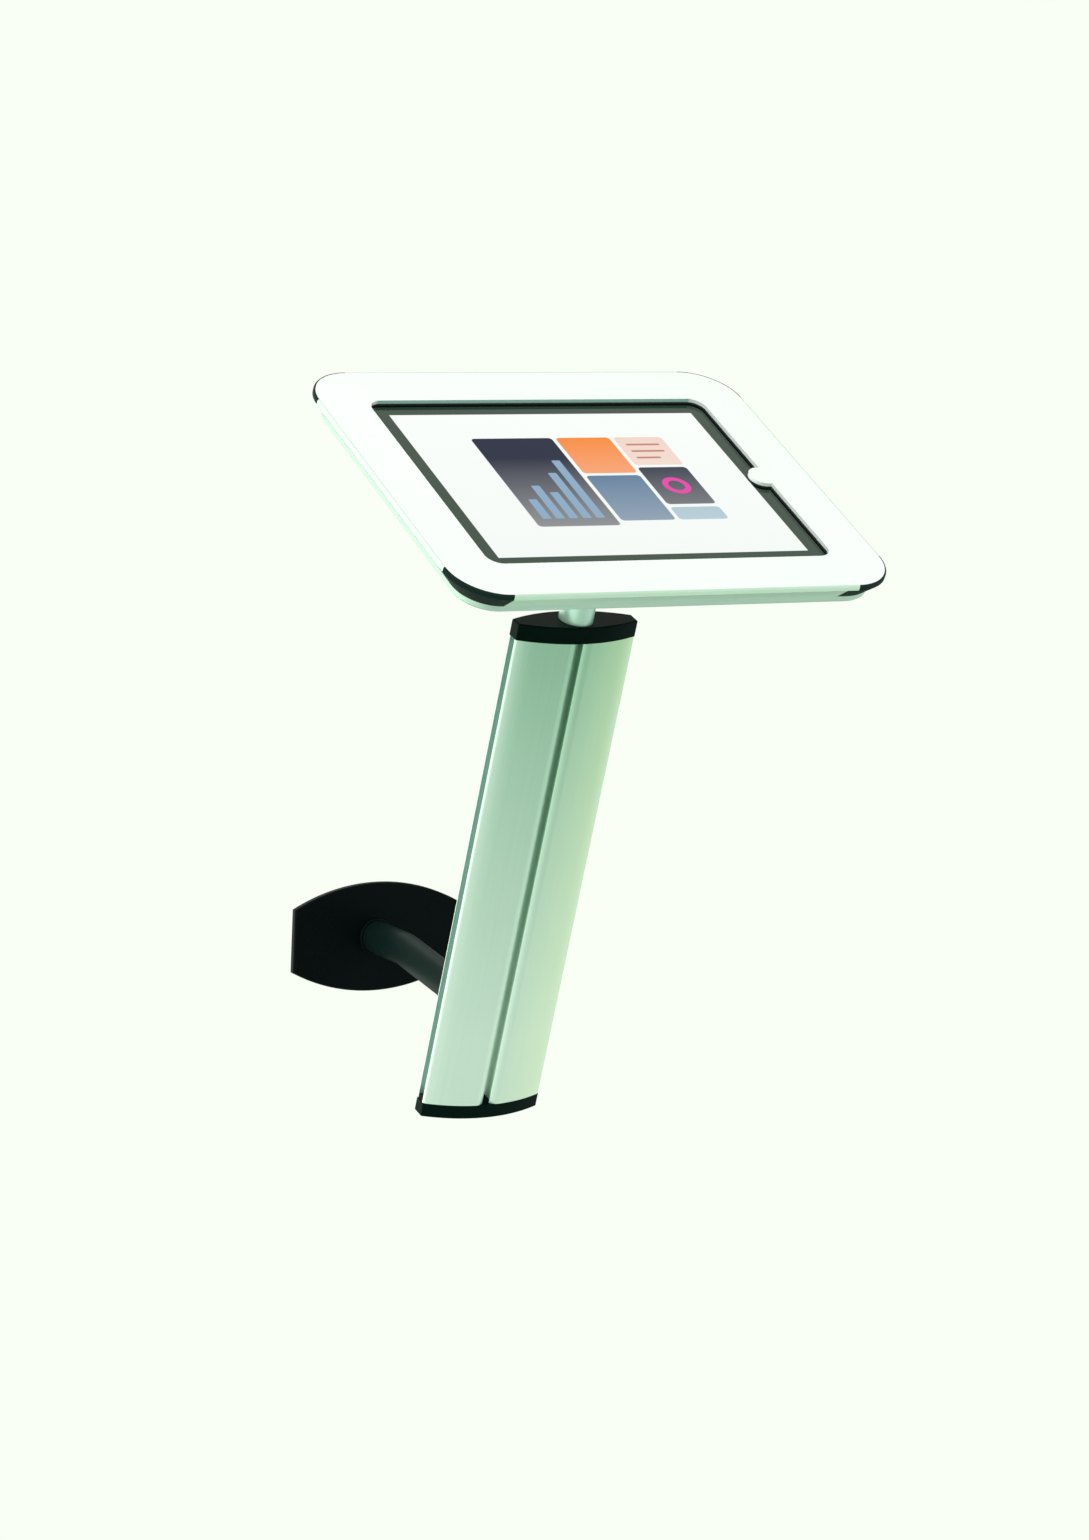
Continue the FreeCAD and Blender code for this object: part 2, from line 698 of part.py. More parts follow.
# Tilt fork: a disc under the swivel with two ears that hold the pin on both sides of the knuckle.
def makeFork():
    body = newBody("tilt_fork", "head")
    sketch = newSketch(body, "XY", forkBottom)
    circle(sketch, "0", "0", "forkDiameter/2")
    pad(body, sketch, "forkThickness")
    ear = "neckDiameter/2"
    for lift in (earStart, "-%s - earThickness" % earStart):
        sketch = newSketch(body, "YZ", lift)
        outline(sketch, [
            ("-pivotForward - " + ear, "-pivotDepth", ear),
            ("-pivotForward", "-pivotDepth - " + ear, ear),
            ("-pivotForward + " + ear, "-pivotDepth"),
            ("-pivotForward + %s + earFlare" % ear, forkBottom + " + fitGap"),
            ("-pivotForward - " + ear, forkBottom + " + fitGap"),
        ])
        circle(sketch, "-pivotForward", "-pivotDepth", "pinDiameter/2 + fitGap")
        pad(body, sketch, "earThickness")
    hole = newSketch(body, "XY", forkTop)
    circle(hole, "0", "0", "swivelThread/2 + fitGap")
    pocket(body, hole, "forkThickness")


def makePin():
    body = newBody("tilt_pin", "pivot")
    sketch = newSketch(body, "XZ")
    tip = "-%s - pinNutThickness - pinTip" % pinReach
    outline(sketch, [
        (tip, "0"),
        (pinReach + " + pinHeadThickness", "0"),
        (pinReach + " + pinHeadThickness", "pinHead/2 - pinBevel"),
        (pinReach + " + pinHeadThickness - pinBevel", "pinHead/2"),
        (pinReach, "pinHead/2"),
        (pinReach, "pinDiameter/2"),
        (tip + " + pinBevel", "pinDiameter/2"),
        (tip, "pinDiameter/2 - pinBevel"),
    ])
    turned = body.newObject("PartDesign::Revolution", "tilt_pin_turned")
    turned.Profile = sketch
    turned.ReferenceAxis = (sketch, ["H_Axis"])
    turned.Angle = 360
    sketch = newSketch(body, "YZ", pinReach + " + pinHeadThickness")
    hexagon(sketch, "0", "0", "pinHexKey")
    pocket(body, sketch, "pinHeadThickness/2")


def makeNutAndWashers():
    body = newBody("tilt_nut", "pivot")
    sketch = newSketch(body, "YZ", "-" + pinReach)
    hexagon(sketch, "0", "0", "pinNut")
    circle(sketch, "0", "0", "pinDiameter/2 + fitGap")
    pad(body, sketch, "pinNutThickness", back=True)
    body = newBody("tilt_washers", "pivot")
    for lift in ("tongueThickness/2 + fitGap", "-tongueThickness/2 - fitGap - washerThickness"):
        sketch = newSketch(body, "YZ", lift)
        circle(sketch, "0", "0", "washerDiameter/2")
        circle(sketch, "0", "0", "pinDiameter/2 + slipGap")
        pad(body, sketch, "washerThickness")


def makeSwivel():
    body = newBody("swivel_washer", "head")
    sketch = newSketch(body, "XY", swivelPlateBottom + " - fitGap")
    circle(sketch, "0", "0", "frictionDiameter/2")
    circle(sketch, "0", "0", "shoulderDiameter/2 + slipGap")
    pad(body, sketch, "frictionThickness", back=True)
    body = newBody("swivel_spring", "head")
    sketch = newSketch(body, "XY", sinkFloor + " + fitGap")
    circle(sketch, "0", "0", "springDiameter/2")
    circle(sketch, "0", "0", "shoulderDiameter/2 + slipGap")
    pad(body, sketch, "springThickness")
    body = newBody("swivel_bolt", "head")
    headBottom = sinkFloor + " + springThickness + 2*fitGap"
    sketch = newSketch(body, "XZ")
    outline(sketch, [
        ("0", forkBottom),
        ("swivelThread/2", forkBottom),
        ("swivelThread/2", forkTop),
        ("shoulderDiameter/2", forkTop),
        ("shoulderDiameter/2", headBottom),
        ("swivelHead/2", headBottom),
        ("swivelHead/2", headBottom + " + swivelHeadThickness"),
        ("0", headBottom + " + swivelHeadThickness"),
    ])
    turned = body.newObject("PartDesign::Revolution", "swivel_bolt_turned")
    turned.Profile = sketch
    turned.ReferenceAxis = (sketch, ["V_Axis"])
    turned.Angle = 360
    body = newBody("swivel_plate", "head")
    sketch = newSketch(body, "XY", swivelPlateBottom)
    circle(sketch, "0", "0", "swivelPlateDiameter/2")
    plate = pad(body, sketch, "swivelPlateThickness")
    low = amount(swivelPlateBottom)
    chamfer(body, plate, lambda edge: near(edge.CenterOfMass.z, low), "swivelPlateBevel")
    for radius, depth in (("swivelSinkDiameter/2", "swivelSink"),
                          ("shoulderDiameter/2 + fitGap", "swivelPlateThickness")):
        sketch = newSketch(body, "XY", trayBottom)
        circle(sketch, "0", "0", radius)
        pocket(body, sketch, depth)
    sketch = newSketch(body, "XY", trayBottom)
    circle(sketch, screwCircleStep, screwCircleStep, "swivelScrew/2")
    hole = pocket(body, sketch, "swivelPlateThickness")
    doc.recompute()
    ring = body.newObject("PartDesign::PolarPattern", "swivel_plate_holes")
    ring.Originals = [hole]
    ring.Axis = (sketch, ["N_Axis"])
    ring.Angle = 360
    ring.Occurrences = 4
    body.Tip = ring
    body = newBody("swivel_screws", "head")
    heads = newSketch(body, "XY", trayFloor)
    shanks = newSketch(body, "XY", trayFloor)
    for across in ("", "-"):
        for up in ("", "-"):
            circle(heads, across + screwCircleStep, up + screwCircleStep, "swivelScrewHead/2 - slipGap")
            circle(shanks, across + screwCircleStep, up + screwCircleStep, "swivelScrew/2 - fitGap")
    pad(body, heads, "(swivelScrewHead - swivelScrew)/2 - slipGap", back=True, taper=-45)
    pad(body, shanks, "swivelScrewLength", back=True)


def railSection(outer):
    # the section of a rail, its outer side at the given distance, the glass side up
    return [
        (outer + " - taperRun", "-taperDrop"),
        (outer, "0"),
        (outer, "panelThickness - lipBevelDrop"),
        (outer + " - lipBevel", "panelThickness"),
        (outer + " - lipWidth", "panelThickness"),
        (outer + " - lipWidth", "0"),
        (outer + " - railDepth", "0"),
        (outer + " - railDepth", "-taperDrop"),
    ]


def railHollow(outer, wall):
    # the hollow inside the section, or with a thicker wall the spigot that fits it
    skin = "%s*sqrt(1 + (taperRun/taperDrop)^2)" % wall
    return [
        ("%s - (taperDrop - %s)*taperRun/taperDrop - %s" % (outer, wall, skin), "-taperDrop + " + wall),
        ("%s - %s*taperRun/taperDrop - %s" % (outer, wall, skin), "-" + wall),
        ("%s - railDepth + %s" % (outer, wall), "-" + wall),
        ("%s - railDepth + %s" % (outer, wall), "-taperDrop + " + wall),
    ]


def railSkin(outer, start, wall, top):
    # the sloping skin of the section, from a line outside or on it to one inside it
    skin = "%s*sqrt(1 + (taperRun/taperDrop)^2)" % wall
    return [
        ("%s + %s - taperRun" % (outer, start), "-taperDrop"),
        ("%s + %s - %s*taperRun/taperDrop" % (outer, start, top), "-" + top),
        ("%s - %s - %s*taperRun/taperDrop" % (outer, skin, top), "-" + top),
        ("%s - %s - taperRun" % (outer, skin), "-taperDrop"),
    ]


# Four hollow rails, one along each side, each cut back at one end for a corner piece's tongue.
def makeRails():
    sides = (("right", halfAcross, cornerUp), ("back", halfUp, cornerAcross),
             ("left", halfAcross, cornerUp), ("front", halfUp, cornerAcross))
    for turn, (side, outer, half) in enumerate(sides):
        body = newBody("rail_" + side, "head", shift("0", "0", "0", "0; 0; 1", str(90 * turn)))
        sketch = newSketch(body, "XZ", "-" + half)
        outline(sketch, railSection(outer))
        outline(sketch, railHollow(outer, "railWall"))
        pad(body, sketch, "2*" + half)
        sketch = newSketch(body, "XZ", "-" + half)
        outline(sketch, railSkin(outer, "cutBeyond", "(railWall + 3*railGap)", "0"))
        pocket(body, sketch, "cornerTongue + railGap", back=True)


# Four corner pieces: the rails' section turned through a quarter circle, with a spigot into each
# rail, a tongue over the end of one of them and a hole for the screw from the tray.
def makeCorners():
    corners = (("back_right", cornerAcross, cornerUp), ("back_left", "-" + cornerAcross, cornerUp),
               ("front_left", "-" + cornerAcross, "-" + cornerUp),
               ("front_right", cornerAcross, "-" + cornerUp))
    for turn, (name, across, up) in enumerate(corners):
        body = newBody("corner_" + name, "head", shift(across, up, "0", "0; 0; 1", str(90 * turn)))
        sketch = newSketch(body, "XZ")
        outline(sketch, railSection("enclosureCorner"))
        swept = body.newObject("PartDesign::Revolution", body.Name + "_turned")
        swept.Profile = sketch
        swept.ReferenceAxis = (sketch, ["V_Axis"])
        swept.Angle = 90
        doc.recompute()
        if swept.Shape.BoundBox.YMin < -1:
            swept.Reversed = True
        fitted = "(railWall + railGap)"
        sketch = newSketch(body, "XZ")
        outline(sketch, railHollow("enclosureCorner", fitted))
        pad(body, sketch, "cornerSpigot")
        sketch = newSketch(body, "YZ")
        outline(sketch, railHollow("enclosureCorner", fitted))
        pad(body, sketch, "cornerSpigot", back=True)
        sketch = newSketch(body, "XZ")
        outline(sketch, railSkin("enclosureCorner", "0", "(railWall + 2*railGap)", "railGap"))
        pad(body, sketch, "cornerTongue")
        sketch = newSketch(body, "XY", "-taperDrop")
        circle(sketch, cornerScrewArm, cornerScrewArm, "cornerScrew/2")
        pocket(body, sketch, "cornerScrewDepth + fitGap", back=True)


def eachCorner(sketch, radius):
    # a circle at each corner piece's screw
    for across in ("", "-"):
        for up in ("", "-"):
            circle(sketch, "%s(%s + %s)" % (across, cornerAcross, cornerScrewArm),
                   "%s(%s + %s)" % (up, cornerUp, cornerScrewArm), radius)


# Front panel: a flat plate inside the rails' lip, with the tab that covers the home button.
def makeFrontPanel():
    body = newBody("front_panel", "head")
    sketch = newSketch(body, "XY")
    rim = "lipWidth - slipGap"
    rounded(sketch, "(%s - %s)" % (halfAcross, rim), "(%s - %s)" % (halfUp, rim), "(enclosureCorner - %s)" % rim)
    side, high, bend = openingAcross, openingUp, "openingCorner"
    tab = "(%s - tabReach + tabRadius)" % side
    outline(sketch, [
        ("-%s + %s" % (side, bend), "-" + high),
        ("%s - %s" % (side, bend), "-" + high, bend),
        (side, "-%s + %s" % (high, bend)),
        (side, "-tabRadius"),
        (tab, "-tabRadius", "tabRadius", "clockwise"),
        (tab + " - tabRadius", "0", "tabRadius", "clockwise"),
        (tab, "tabRadius"),
        (side, "tabRadius"),
        (side, "%s - %s" % (high, bend), bend),
        ("%s - %s" % (side, bend), high),
        ("-%s + %s" % (side, bend), high, bend),
        ("-" + side, "%s - %s" % (high, bend)),
        ("-" + side, "-%s + %s" % (high, bend), bend),
    ])
    pad(body, sketch, "panelThickness")


# Back tray: a shallow pan that the rails and corner pieces stand on.
def makeTray():
    body = newBody("back_tray", "head")
    sketch = newSketch(body, "XY", trayBottom)
    rounded(sketch, "(%s - taperRun)" % halfAcross, "(%s - taperRun)" % halfUp, "(enclosureCorner - taperRun)")
    tray = pad(body, sketch, "trayThickness")
    low = amount(trayBottom)
    chamfer(body, tray, lambda edge: near(edge.CenterOfMass.z, low), "trayBevel")
    sketch = newSketch(body, "XY", "-taperDrop")
    rounded(sketch, "(%s - railDepth)" % halfAcross, "(%s - railDepth)" % halfUp,
            "(enclosureCorner - railDepth)")
    pocket(body, sketch, "trayRecess")
    sketch = newSketch(body, "XY", trayFloor)
    for across in ("", "-"):
        for up in ("", "-"):
            circle(sketch, across + screwCircleStep, up + screwCircleStep, "swivelScrew/2 + fitGap")
    doc.recompute()
    holes = body.newObject("PartDesign::Hole", "back_tray_holes")
    holes.Profile = sketch
    doc.recompute()
    holes.DepthType = "ThroughAll"
    holes.HoleCutType = "Countersink"
    holes.setExpression("Diameter", link("swivelScrew + 2*fitGap"))
    holes.HoleCutCustomValues = True
    holes.setExpression("HoleCutDiameter", link("swivelScrewHead"))
    holes.HoleCutCountersinkAngle = 90
    for radius, depth in (("cornerScrew/2 + slipGap", "trayThickness"),
                          ("cornerScrewHead/2 + slipGap", "cornerScrewHeadThickness")):
        sketch = newSketch(body, "XY", trayBottom)
        eachCorner(sketch, radius)
        pocket(body, sketch, depth, back=True)


def makeCornerScrews():
    body = newBody("corner_screws", "head")
    heads = newSketch(body, "XY", trayBottom)
    eachCorner(heads, "cornerScrewHead/2")
    pad(body, heads, "cornerScrewHeadThickness")
    shanks = newSketch(body, "XY", trayBottom + " + cornerScrewHeadThickness")
    eachCorner(shanks, "cornerScrew/2 - fitGap")
    pad(body, shanks, "trayThickness - cornerScrewHeadThickness + cornerScrewDepth")


# Foam under the tablet and rubber bumpers between its sides and the rails.
def makeCushions():
    body = newBody("cushion_pads", "head")
    sketch = newSketch(body, "XY", trayFloor)
    for across in ("-padPitchAcross/2", "padPitchAcross/2"):
        for up in ("-padPitchUp/2", "padPitchUp/2"):
            block(sketch, "padWidth/2", "padHeight/2", across, up)
    pad(body, sketch, "%s - fitGap - (%s)" % (tabletBottom, trayFloor))
    body = newBody("side_bumpers", "head")
    sketch = newSketch(body, "XY", trayFloor)
    sideMiddle = "(%s + sideClearance/2)" % tabletAcross
    endMiddle = "(%s + endClearance/2)" % tabletUp
    for first in ("-", ""):
        for second in ("-", ""):
            block(sketch, "(sideClearance/2 - slipGap)", "bumperLength/2",
                  first + sideMiddle, second + "bumperPitchUp/2")
            block(sketch, "bumperLength/2", "(endClearance/2 - slipGap)",
                  first + "bumperPitchAcross/2", second + endMiddle)
    pad(body, sketch, "bumperRise")


def makeTablet():
    body = newBody("tablet_back", "head")
    sketch = newSketch(body, "XY", tabletBottom)
    rounded(sketch, tabletAcross, tabletUp, "tabletCorner")
    shell = pad(body, sketch, "tabletThickness - glassThickness")
    low = amount(tabletBottom)
    chamfer(body, shell, lambda edge: near(edge.CenterOfMass.z, low), "tabletBevel")
    wall = "(tabletBevel + tabletWall)"
    sketch = newSketch(body, "XY", glassBottom)
    rounded(sketch, "(%s - %s)" % (tabletAcross, wall), "(%s - %s)" % (tabletUp, wall), "(tabletCorner - %s)" % wall)
    pocket(body, sketch, "tabletThickness - glassThickness - tabletWall")
    body = newBody("battery_cells", "head")
    sketch = newSketch(body, "XY", tabletBottom + " + tabletWall")
    for place in ("-batteryPitch", "0", "batteryPitch"):
        block(sketch, "batteryWidth/2", "batteryHeight/2", place, "0")
    pad(body, sketch, "batteryThickness")
    body = newBody("display_panel", "head")
    sketch = newSketch(body, "XY", glassBottom)
    block(sketch, displayAcross, displayUp)
    pad(body, sketch, "displayThickness", back=True)
    body = newBody("tablet_glass", "head")
    sketch = newSketch(body, "XY", glassBottom)
    rounded(sketch, tabletAcross, tabletUp, "tabletCorner")
    circle(sketch, buttonCentre, "0", "buttonDiameter/2 + slipGap")
    pad(body, sketch, "glassThickness")
    body = newBody("home_button", "head")
    sketch = newSketch(body, "XY", glassBottom + " - slipGap")
    circle(sketch, buttonCentre, "0", "buttonDiameter/2")
    pad(body, sketch, "glassThickness - buttonRecess + slipGap")
    sketch = newSketch(body, "XY", glassBottom + " - slipGap")
    circle(sketch, buttonCentre, "0", "buttonDiameter/2 + buttonFlange")
    pad(body, sketch, "buttonFlangeThickness", back=True)


makeWallPlate()
makeScrewCovers()
makeArm()
makeSaddle()
makeSaddleScrews()
makeSlotNuts()
makeColumn()
makeTopCap()
makeBottomCap()
makeNeck()
makeKnuckle()
makeFork()
makePin()
makeNutAndWashers()
makeSwivel()
makeRails()
makeCorners()
makeFrontPanel()
makeTray()
makeCornerScrews()
makeCushions()
makeTablet()
doc.recompute()

# Every feature must be sound, and each one that adds or cuts must change the volume that way.
adding = ("PartDesign::Pad", "PartDesign::Revolution", "PartDesign::AdditivePipe")
cutting = ("PartDesign::Pocket", "PartDesign::Hole", "PartDesign::PolarPattern")
faults = []
for item in doc.Objects:
    if "Invalid" in item.State or "Error" in item.State:
        faults.append("%s is %s" % (item.Name, item.State))
    base = getattr(item, "BaseFeature", None)
    if item.TypeId.startswith("PartDesign") and base:
        change = item.Shape.Volume - base.Shape.Volume
        if item.TypeId in adding and change <= 0 or item.TypeId in cutting and change >= 0:
            faults.append("%s changes the volume by %.3f" % (item.Name, change))
for body in subparts:
    if body.Shape.isNull() or not body.Shape.isValid():
        faults.append(body.Label + " has no sound shape")
    print("%-20s %d solids %10.1f mm3" % (body.Label, len(body.Shape.Solids), body.Shape.Volume))
if faults:
    raise RuntimeError("; ".join(faults))

os.makedirs("parts", exist_ok=True)
for body in subparts:
    body.Shape.exportStep("parts/%s.step" % body.Label)
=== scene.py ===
import json
import math

import bmesh
import bpy
from mathutils import Matrix, Vector


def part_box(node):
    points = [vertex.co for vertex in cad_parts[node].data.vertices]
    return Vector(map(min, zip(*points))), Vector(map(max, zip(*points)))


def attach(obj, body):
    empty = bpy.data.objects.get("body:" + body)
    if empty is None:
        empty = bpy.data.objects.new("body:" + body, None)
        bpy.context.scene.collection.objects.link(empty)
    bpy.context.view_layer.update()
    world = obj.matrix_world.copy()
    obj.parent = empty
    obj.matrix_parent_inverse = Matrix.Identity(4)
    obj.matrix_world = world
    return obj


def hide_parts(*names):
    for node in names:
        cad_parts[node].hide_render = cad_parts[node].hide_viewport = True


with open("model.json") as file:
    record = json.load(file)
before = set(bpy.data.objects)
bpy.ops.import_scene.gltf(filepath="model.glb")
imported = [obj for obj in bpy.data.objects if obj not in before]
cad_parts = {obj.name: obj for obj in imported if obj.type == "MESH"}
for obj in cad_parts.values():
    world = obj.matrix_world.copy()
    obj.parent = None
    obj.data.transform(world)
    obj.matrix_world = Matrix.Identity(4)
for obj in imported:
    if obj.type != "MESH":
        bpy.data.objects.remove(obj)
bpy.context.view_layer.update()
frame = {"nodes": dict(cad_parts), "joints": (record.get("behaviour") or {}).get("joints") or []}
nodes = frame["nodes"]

# Wall-mounted tablet holder: every length here is in metres in the holder's own frame, with the
# wall plate's back on y = 0. Patterns are worked out in millimetres.
perMetre = 1000
joints = {joint["name"]: joint for joint in frame["joints"]}
headOrigin = Vector(joints["swivel_hinge"]["pos_m"])
headNormal = Vector(joints["swivel_hinge"]["axis"])
headTurn = math.atan2(-headNormal.y, headNormal.z)  # slope of the screen, about X
columnTurn = math.radians(17)  # lean of the column, about X
print("frame loaded:", len(nodes), "nodes")


class Signal:
    # one output of a node, so that sums on it add Math nodes
    def __init__(self, graph, socket):
        self.graph = graph
        self.socket = socket

    def __add__(self, other):
        return self.graph.maths("ADD", self, other)

    def __radd__(self, other):
        return self.graph.maths("ADD", other, self)

    def __sub__(self, other):
        return self.graph.maths("SUBTRACT", self, other)

    def __rsub__(self, other):
        return self.graph.maths("SUBTRACT", other, self)

    def __mul__(self, other):
        return self.graph.maths("MULTIPLY", self, other)

    def __rmul__(self, other):
        return self.graph.maths("MULTIPLY", other, self)

    def __truediv__(self, other):
        return self.graph.maths("DIVIDE", self, other)


class Graph:
    # the node tree of a material or of the world
    def __init__(self, owner):
        owner.use_nodes = True
        self.owner = owner
        self.tree = owner.node_tree
        self.tree.nodes.clear()

    def feed(self, socket, value):
        if isinstance(value, Signal):
            self.tree.links.new(value.socket, socket)
        else:
            socket.default_value = value

    def add(self, kind, settings=None, values=None, output=0):
        node = self.tree.nodes.new(kind)
        for name, value in (settings or {}).items():
            setattr(node, name, value)
        for name, value in (values or {}).items():
            self.feed(node.inputs[name], value)
        return Signal(self, node.outputs[output]) if len(node.outputs) else node

    def maths(self, operation, *values, clamp=False):
        settings = {"operation": operation, "use_clamp": clamp}
        return self.add("ShaderNodeMath", settings, dict(enumerate(values)))

    def ramp(self, signal, span):
        # 0 up to the start of the span, 1 from its end on
        start, end = span
        return self.maths("DIVIDE", signal - start, end - start, clamp=True)

    def mix(self, factor, first, second):
        settings = {"data_type": "RGBA"}
        return self.add("ShaderNodeMix", settings, {0: factor, 6: first, 7: second}, 2)

    def millimetres(self, origin=Vector((0, 0, 0)), turn=0.0):
        # Object coordinates in millimetres, in a frame at origin that is turned about X
        place = self.add("ShaderNodeTexCoord", output="Object")
        back = Matrix.Rotation(-turn, 3, "X")
        return self.add("ShaderNodeMapping", {"vector_type": "POINT"}, {
            "Vector": place,
            "Scale": (perMetre, perMetre, perMetre),
            "Rotation": (-turn, 0, 0),
            "Location": back @ (origin * -perMetre),
        })

    def stretch(self, vector, factors):
        return self.add("ShaderNodeVectorMath", {"operation": "MULTIPLY"}, {0: vector, 1: factors})

    def noise(self, vector, scale=1.0, detail=2.0, rough=0.5):
        values = {"Vector": vector, "Scale": scale, "Detail": detail, "Roughness": rough}
        return self.add("ShaderNodeTexNoise", None, values)

    def axes(self, vector):
        split = self.add("ShaderNodeSeparateXYZ", None, {"Vector": vector})
        return [Signal(self, socket) for socket in split.socket.node.outputs]

    def bump(self, height, strength, distance):
        values = {"Strength": strength, "Distance": distance, "Height": height}
        return self.add("ShaderNodeBump", None, values)

    def surface(self, values, over=None, share=None):
        # one shader, or a second one over it where share is 1
        shader = self.add("ShaderNodeBsdfPrincipled", None, values)
        if over:
            upper = self.add("ShaderNodeBsdfPrincipled", None, over)
            shader = self.add("ShaderNodeMixShader", None, {0: share, 1: shader, 2: upper})
        self.add("ShaderNodeOutputMaterial", None, {"Surface": shader})
        return self.owner


def newGraph(name):
    return Graph(bpy.data.materials.new(name))


def tone(red, green, blue):
    # a colour as it shows on screen, 0 to 255, made linear
    def linear(value):
        share = value / 255
        return share / 12.92 if share <= 0.04045 else ((share + 0.055) / 1.055) ** 2.4
    return (linear(red), linear(green), linear(blue), 1.0)


def between(limits, signal):
    # the first limit where the signal is 0, the second where it is 1
    low, high = limits
    return low + (high - low) * signal


def weigh(part, first, second):
    # a part of the first signal and the rest of the second
    return first * part + second * (1 - part)


def dress(material, *names):
    for name in names:
        slots = nodes[name].data.materials
        if len(slots) == 0:
            slots.append(material)
        for place in range(len(slots)):
            slots[place] = material


# In the finishes below a size or length is in millimetres and a scale is per millimetre. "rough" has the
# lowest and highest roughness, "bump" the strength of the relief and its height in metres.

# Black powder coat on the steel: wall plate, arm, saddle, fork and swivel plate; the arm gets a lighter
# copy, which is painted light
powderCoat = {
    # darkest and lightest tone
    "plain": (tone(3, 6, 8), tone(9, 13, 14)),
    # a lighter copy for the arm: painted light, as if lit from above
    "arm": (tone(10, 24, 22), tone(20, 38, 35)),
    "peelSize": 0.9,      # between the coat's bumps
    "cloudScale": 0.03,
    "cloudPart": 0.6,     # of the change in tone; the bumps give the rest
    "rough": (0.4, 0.52),
    "shine": 0.05,
    "sheen": tone(190, 255, 236),
    "bump": (0.4, 0.00003),
}


def makePowderCoat(name, dark, light):
    graph = newGraph(name)
    place = graph.millimetres()
    peel = graph.noise(place, 1 / powderCoat["peelSize"])
    cloud = graph.noise(place, powderCoat["cloudScale"], detail=3)
    return graph.surface({
        "Base Color": graph.mix(weigh(powderCoat["cloudPart"], cloud, peel), dark, light),
        "Roughness": between(powderCoat["rough"], peel),
        "Specular IOR Level": powderCoat["shine"],
        "Specular Tint": powderCoat["sheen"],
        "Normal": graph.bump(peel, *powderCoat["bump"]),
    })


# Spark-grained black plastic: column caps, corner pieces and home button
mouldedPlastic = {
    # darkest and lightest tone, roughness, shine, bump
    "caps": (tone(4, 13, 11), tone(12, 30, 26), (0.37, 0.47), 0.02, (0.5, 0.00002)),
    "corners": (tone(26, 40, 36), tone(38, 58, 52), (0.37, 0.47), 0.014, (0.5, 0.00002)),
    "button": (tone(6, 9, 9), tone(12, 17, 16), (0.11, 0.21), 0.3, (0.5, 0.000004)),
    "grainSize": 0.5,
    "flowScale": (0.02, 0.05, 0.05),  # slow streaks from the mould
    "flowPart": 0.7,
    "sheen": tone(190, 255, 226),
}


def makeMouldedPlastic(name, dark, light, rough, shine, bump):
    graph = newGraph(name)
    place = graph.millimetres()
    grain = graph.noise(place, 1 / mouldedPlastic["grainSize"], detail=3, rough=0.6)
    flow = graph.noise(graph.stretch(place, mouldedPlastic["flowScale"]), detail=3)
    return graph.surface({
        "Base Color": graph.mix(weigh(mouldedPlastic["flowPart"], flow, grain), dark, light),
        "Roughness": between(rough, grain),
        "Specular IOR Level": shine,
        "Specular Tint": mouldedPlastic["sheen"],
        "Normal": graph.bump(grain, *bump),
    })


# Satin anodised extrusions, with die lines along their length
anodised = {
    "dark": tone(196, 228, 204),
    "light": tone(216, 242, 223),
    "lineWidth": 1.1,
    "lineLength": 260,
    "linePart": 0.5,
    "cloudScale": 0.015,
    "rough": (0.32, 0.44),
    "metal": 0.5,
    "bump": (0.3, 0.00001),
}

# The column's tone: painted shade darkens it towards its head, under the enclosure; painted highlights make
# its two edges paler; painted shade darkens its end channels; and it gets warmer to the right.
# A span is where a change starts and ends, in millimetres.
columnTone = {
    # painted shade: the head is darker, where the enclosure shades it
    "head": tone(149, 197, 167),
    "foot": tone(218, 239, 224),
    "footSpan": (-95, -350),  # along the column, from the screen's centre
    "footPart": 0.8,      # the die lines give the rest
    # painted highlight: both edges paler
    "edge": tone(232, 251, 237),
    "edgeSpan": (27, 42),  # to both sides of the middle
    "warm": tone(206, 224, 156),
    "warmSpan": (2, 30),  # to the right of the middle
    "warmPart": 0.28,
    # painted shade in the channels of the two narrow ends
    "channel": tone(172, 202, 192),
    "channelDepth": 3.2,  # from the column's two narrow ends
    "channelHalf": 2.75,
    "plane": -5.485,      # the column's middle plane, in front of the screen's centre
}


def railColour(graph, place, lines):
    cloud = graph.noise(place, anodised["cloudScale"])
    return graph.mix(weigh(anodised["linePart"], lines, cloud), anodised["dark"], anodised["light"])


def columnColour(graph, place, lines):
    aside, forward, height = graph.axes(place)
    fromMiddle = graph.maths("ABSOLUTE", aside)
    # painted shade: darker towards the head, paler towards the foot
    down = weigh(columnTone["footPart"], graph.ramp(height, columnTone["footSpan"]), lines)
    # painted highlight: paler towards both edges
    edge = graph.ramp(fromMiddle, columnTone["edgeSpan"])
    warm = graph.ramp(aside, columnTone["warmSpan"])
    colour = graph.mix(down, columnTone["head"], columnTone["foot"])
    colour = graph.mix(edge * edge, colour, columnTone["edge"])
    colour = graph.mix(warm * columnTone["warmPart"], colour, columnTone["warm"])
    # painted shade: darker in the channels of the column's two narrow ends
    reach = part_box("column_profile")[1][0] * perMetre - columnTone["channelDepth"]
    deep = graph.maths("GREATER_THAN", fromMiddle, reach)
    fromPlane = graph.maths("ABSOLUTE", forward - columnTone["plane"])
    channel = deep * graph.maths("LESS_THAN", fromPlane, columnTone["channelHalf"])
    return graph.mix(channel, colour, columnTone["channel"])


def makeAnodised(name, turn, along, colourOf):
    # along is the axis that the die lines follow
    graph = newGraph(name)
    place = graph.millimetres(headOrigin, turn)
    across = 1 / anodised["lineWidth"]
    squeeze = [across, across, across]
    squeeze[along] = 1 / anodised["lineLength"]
    lines = graph.noise(graph.stretch(place, squeeze), detail=3, rough=0.6)
    return graph.surface({
        "Base Color": colourOf(graph, place, lines),
        "Metallic": anodised["metal"],
        "Roughness": between(anodised["rough"], lines),
        "Normal": graph.bump(lines, *anodised["bump"]),
    })
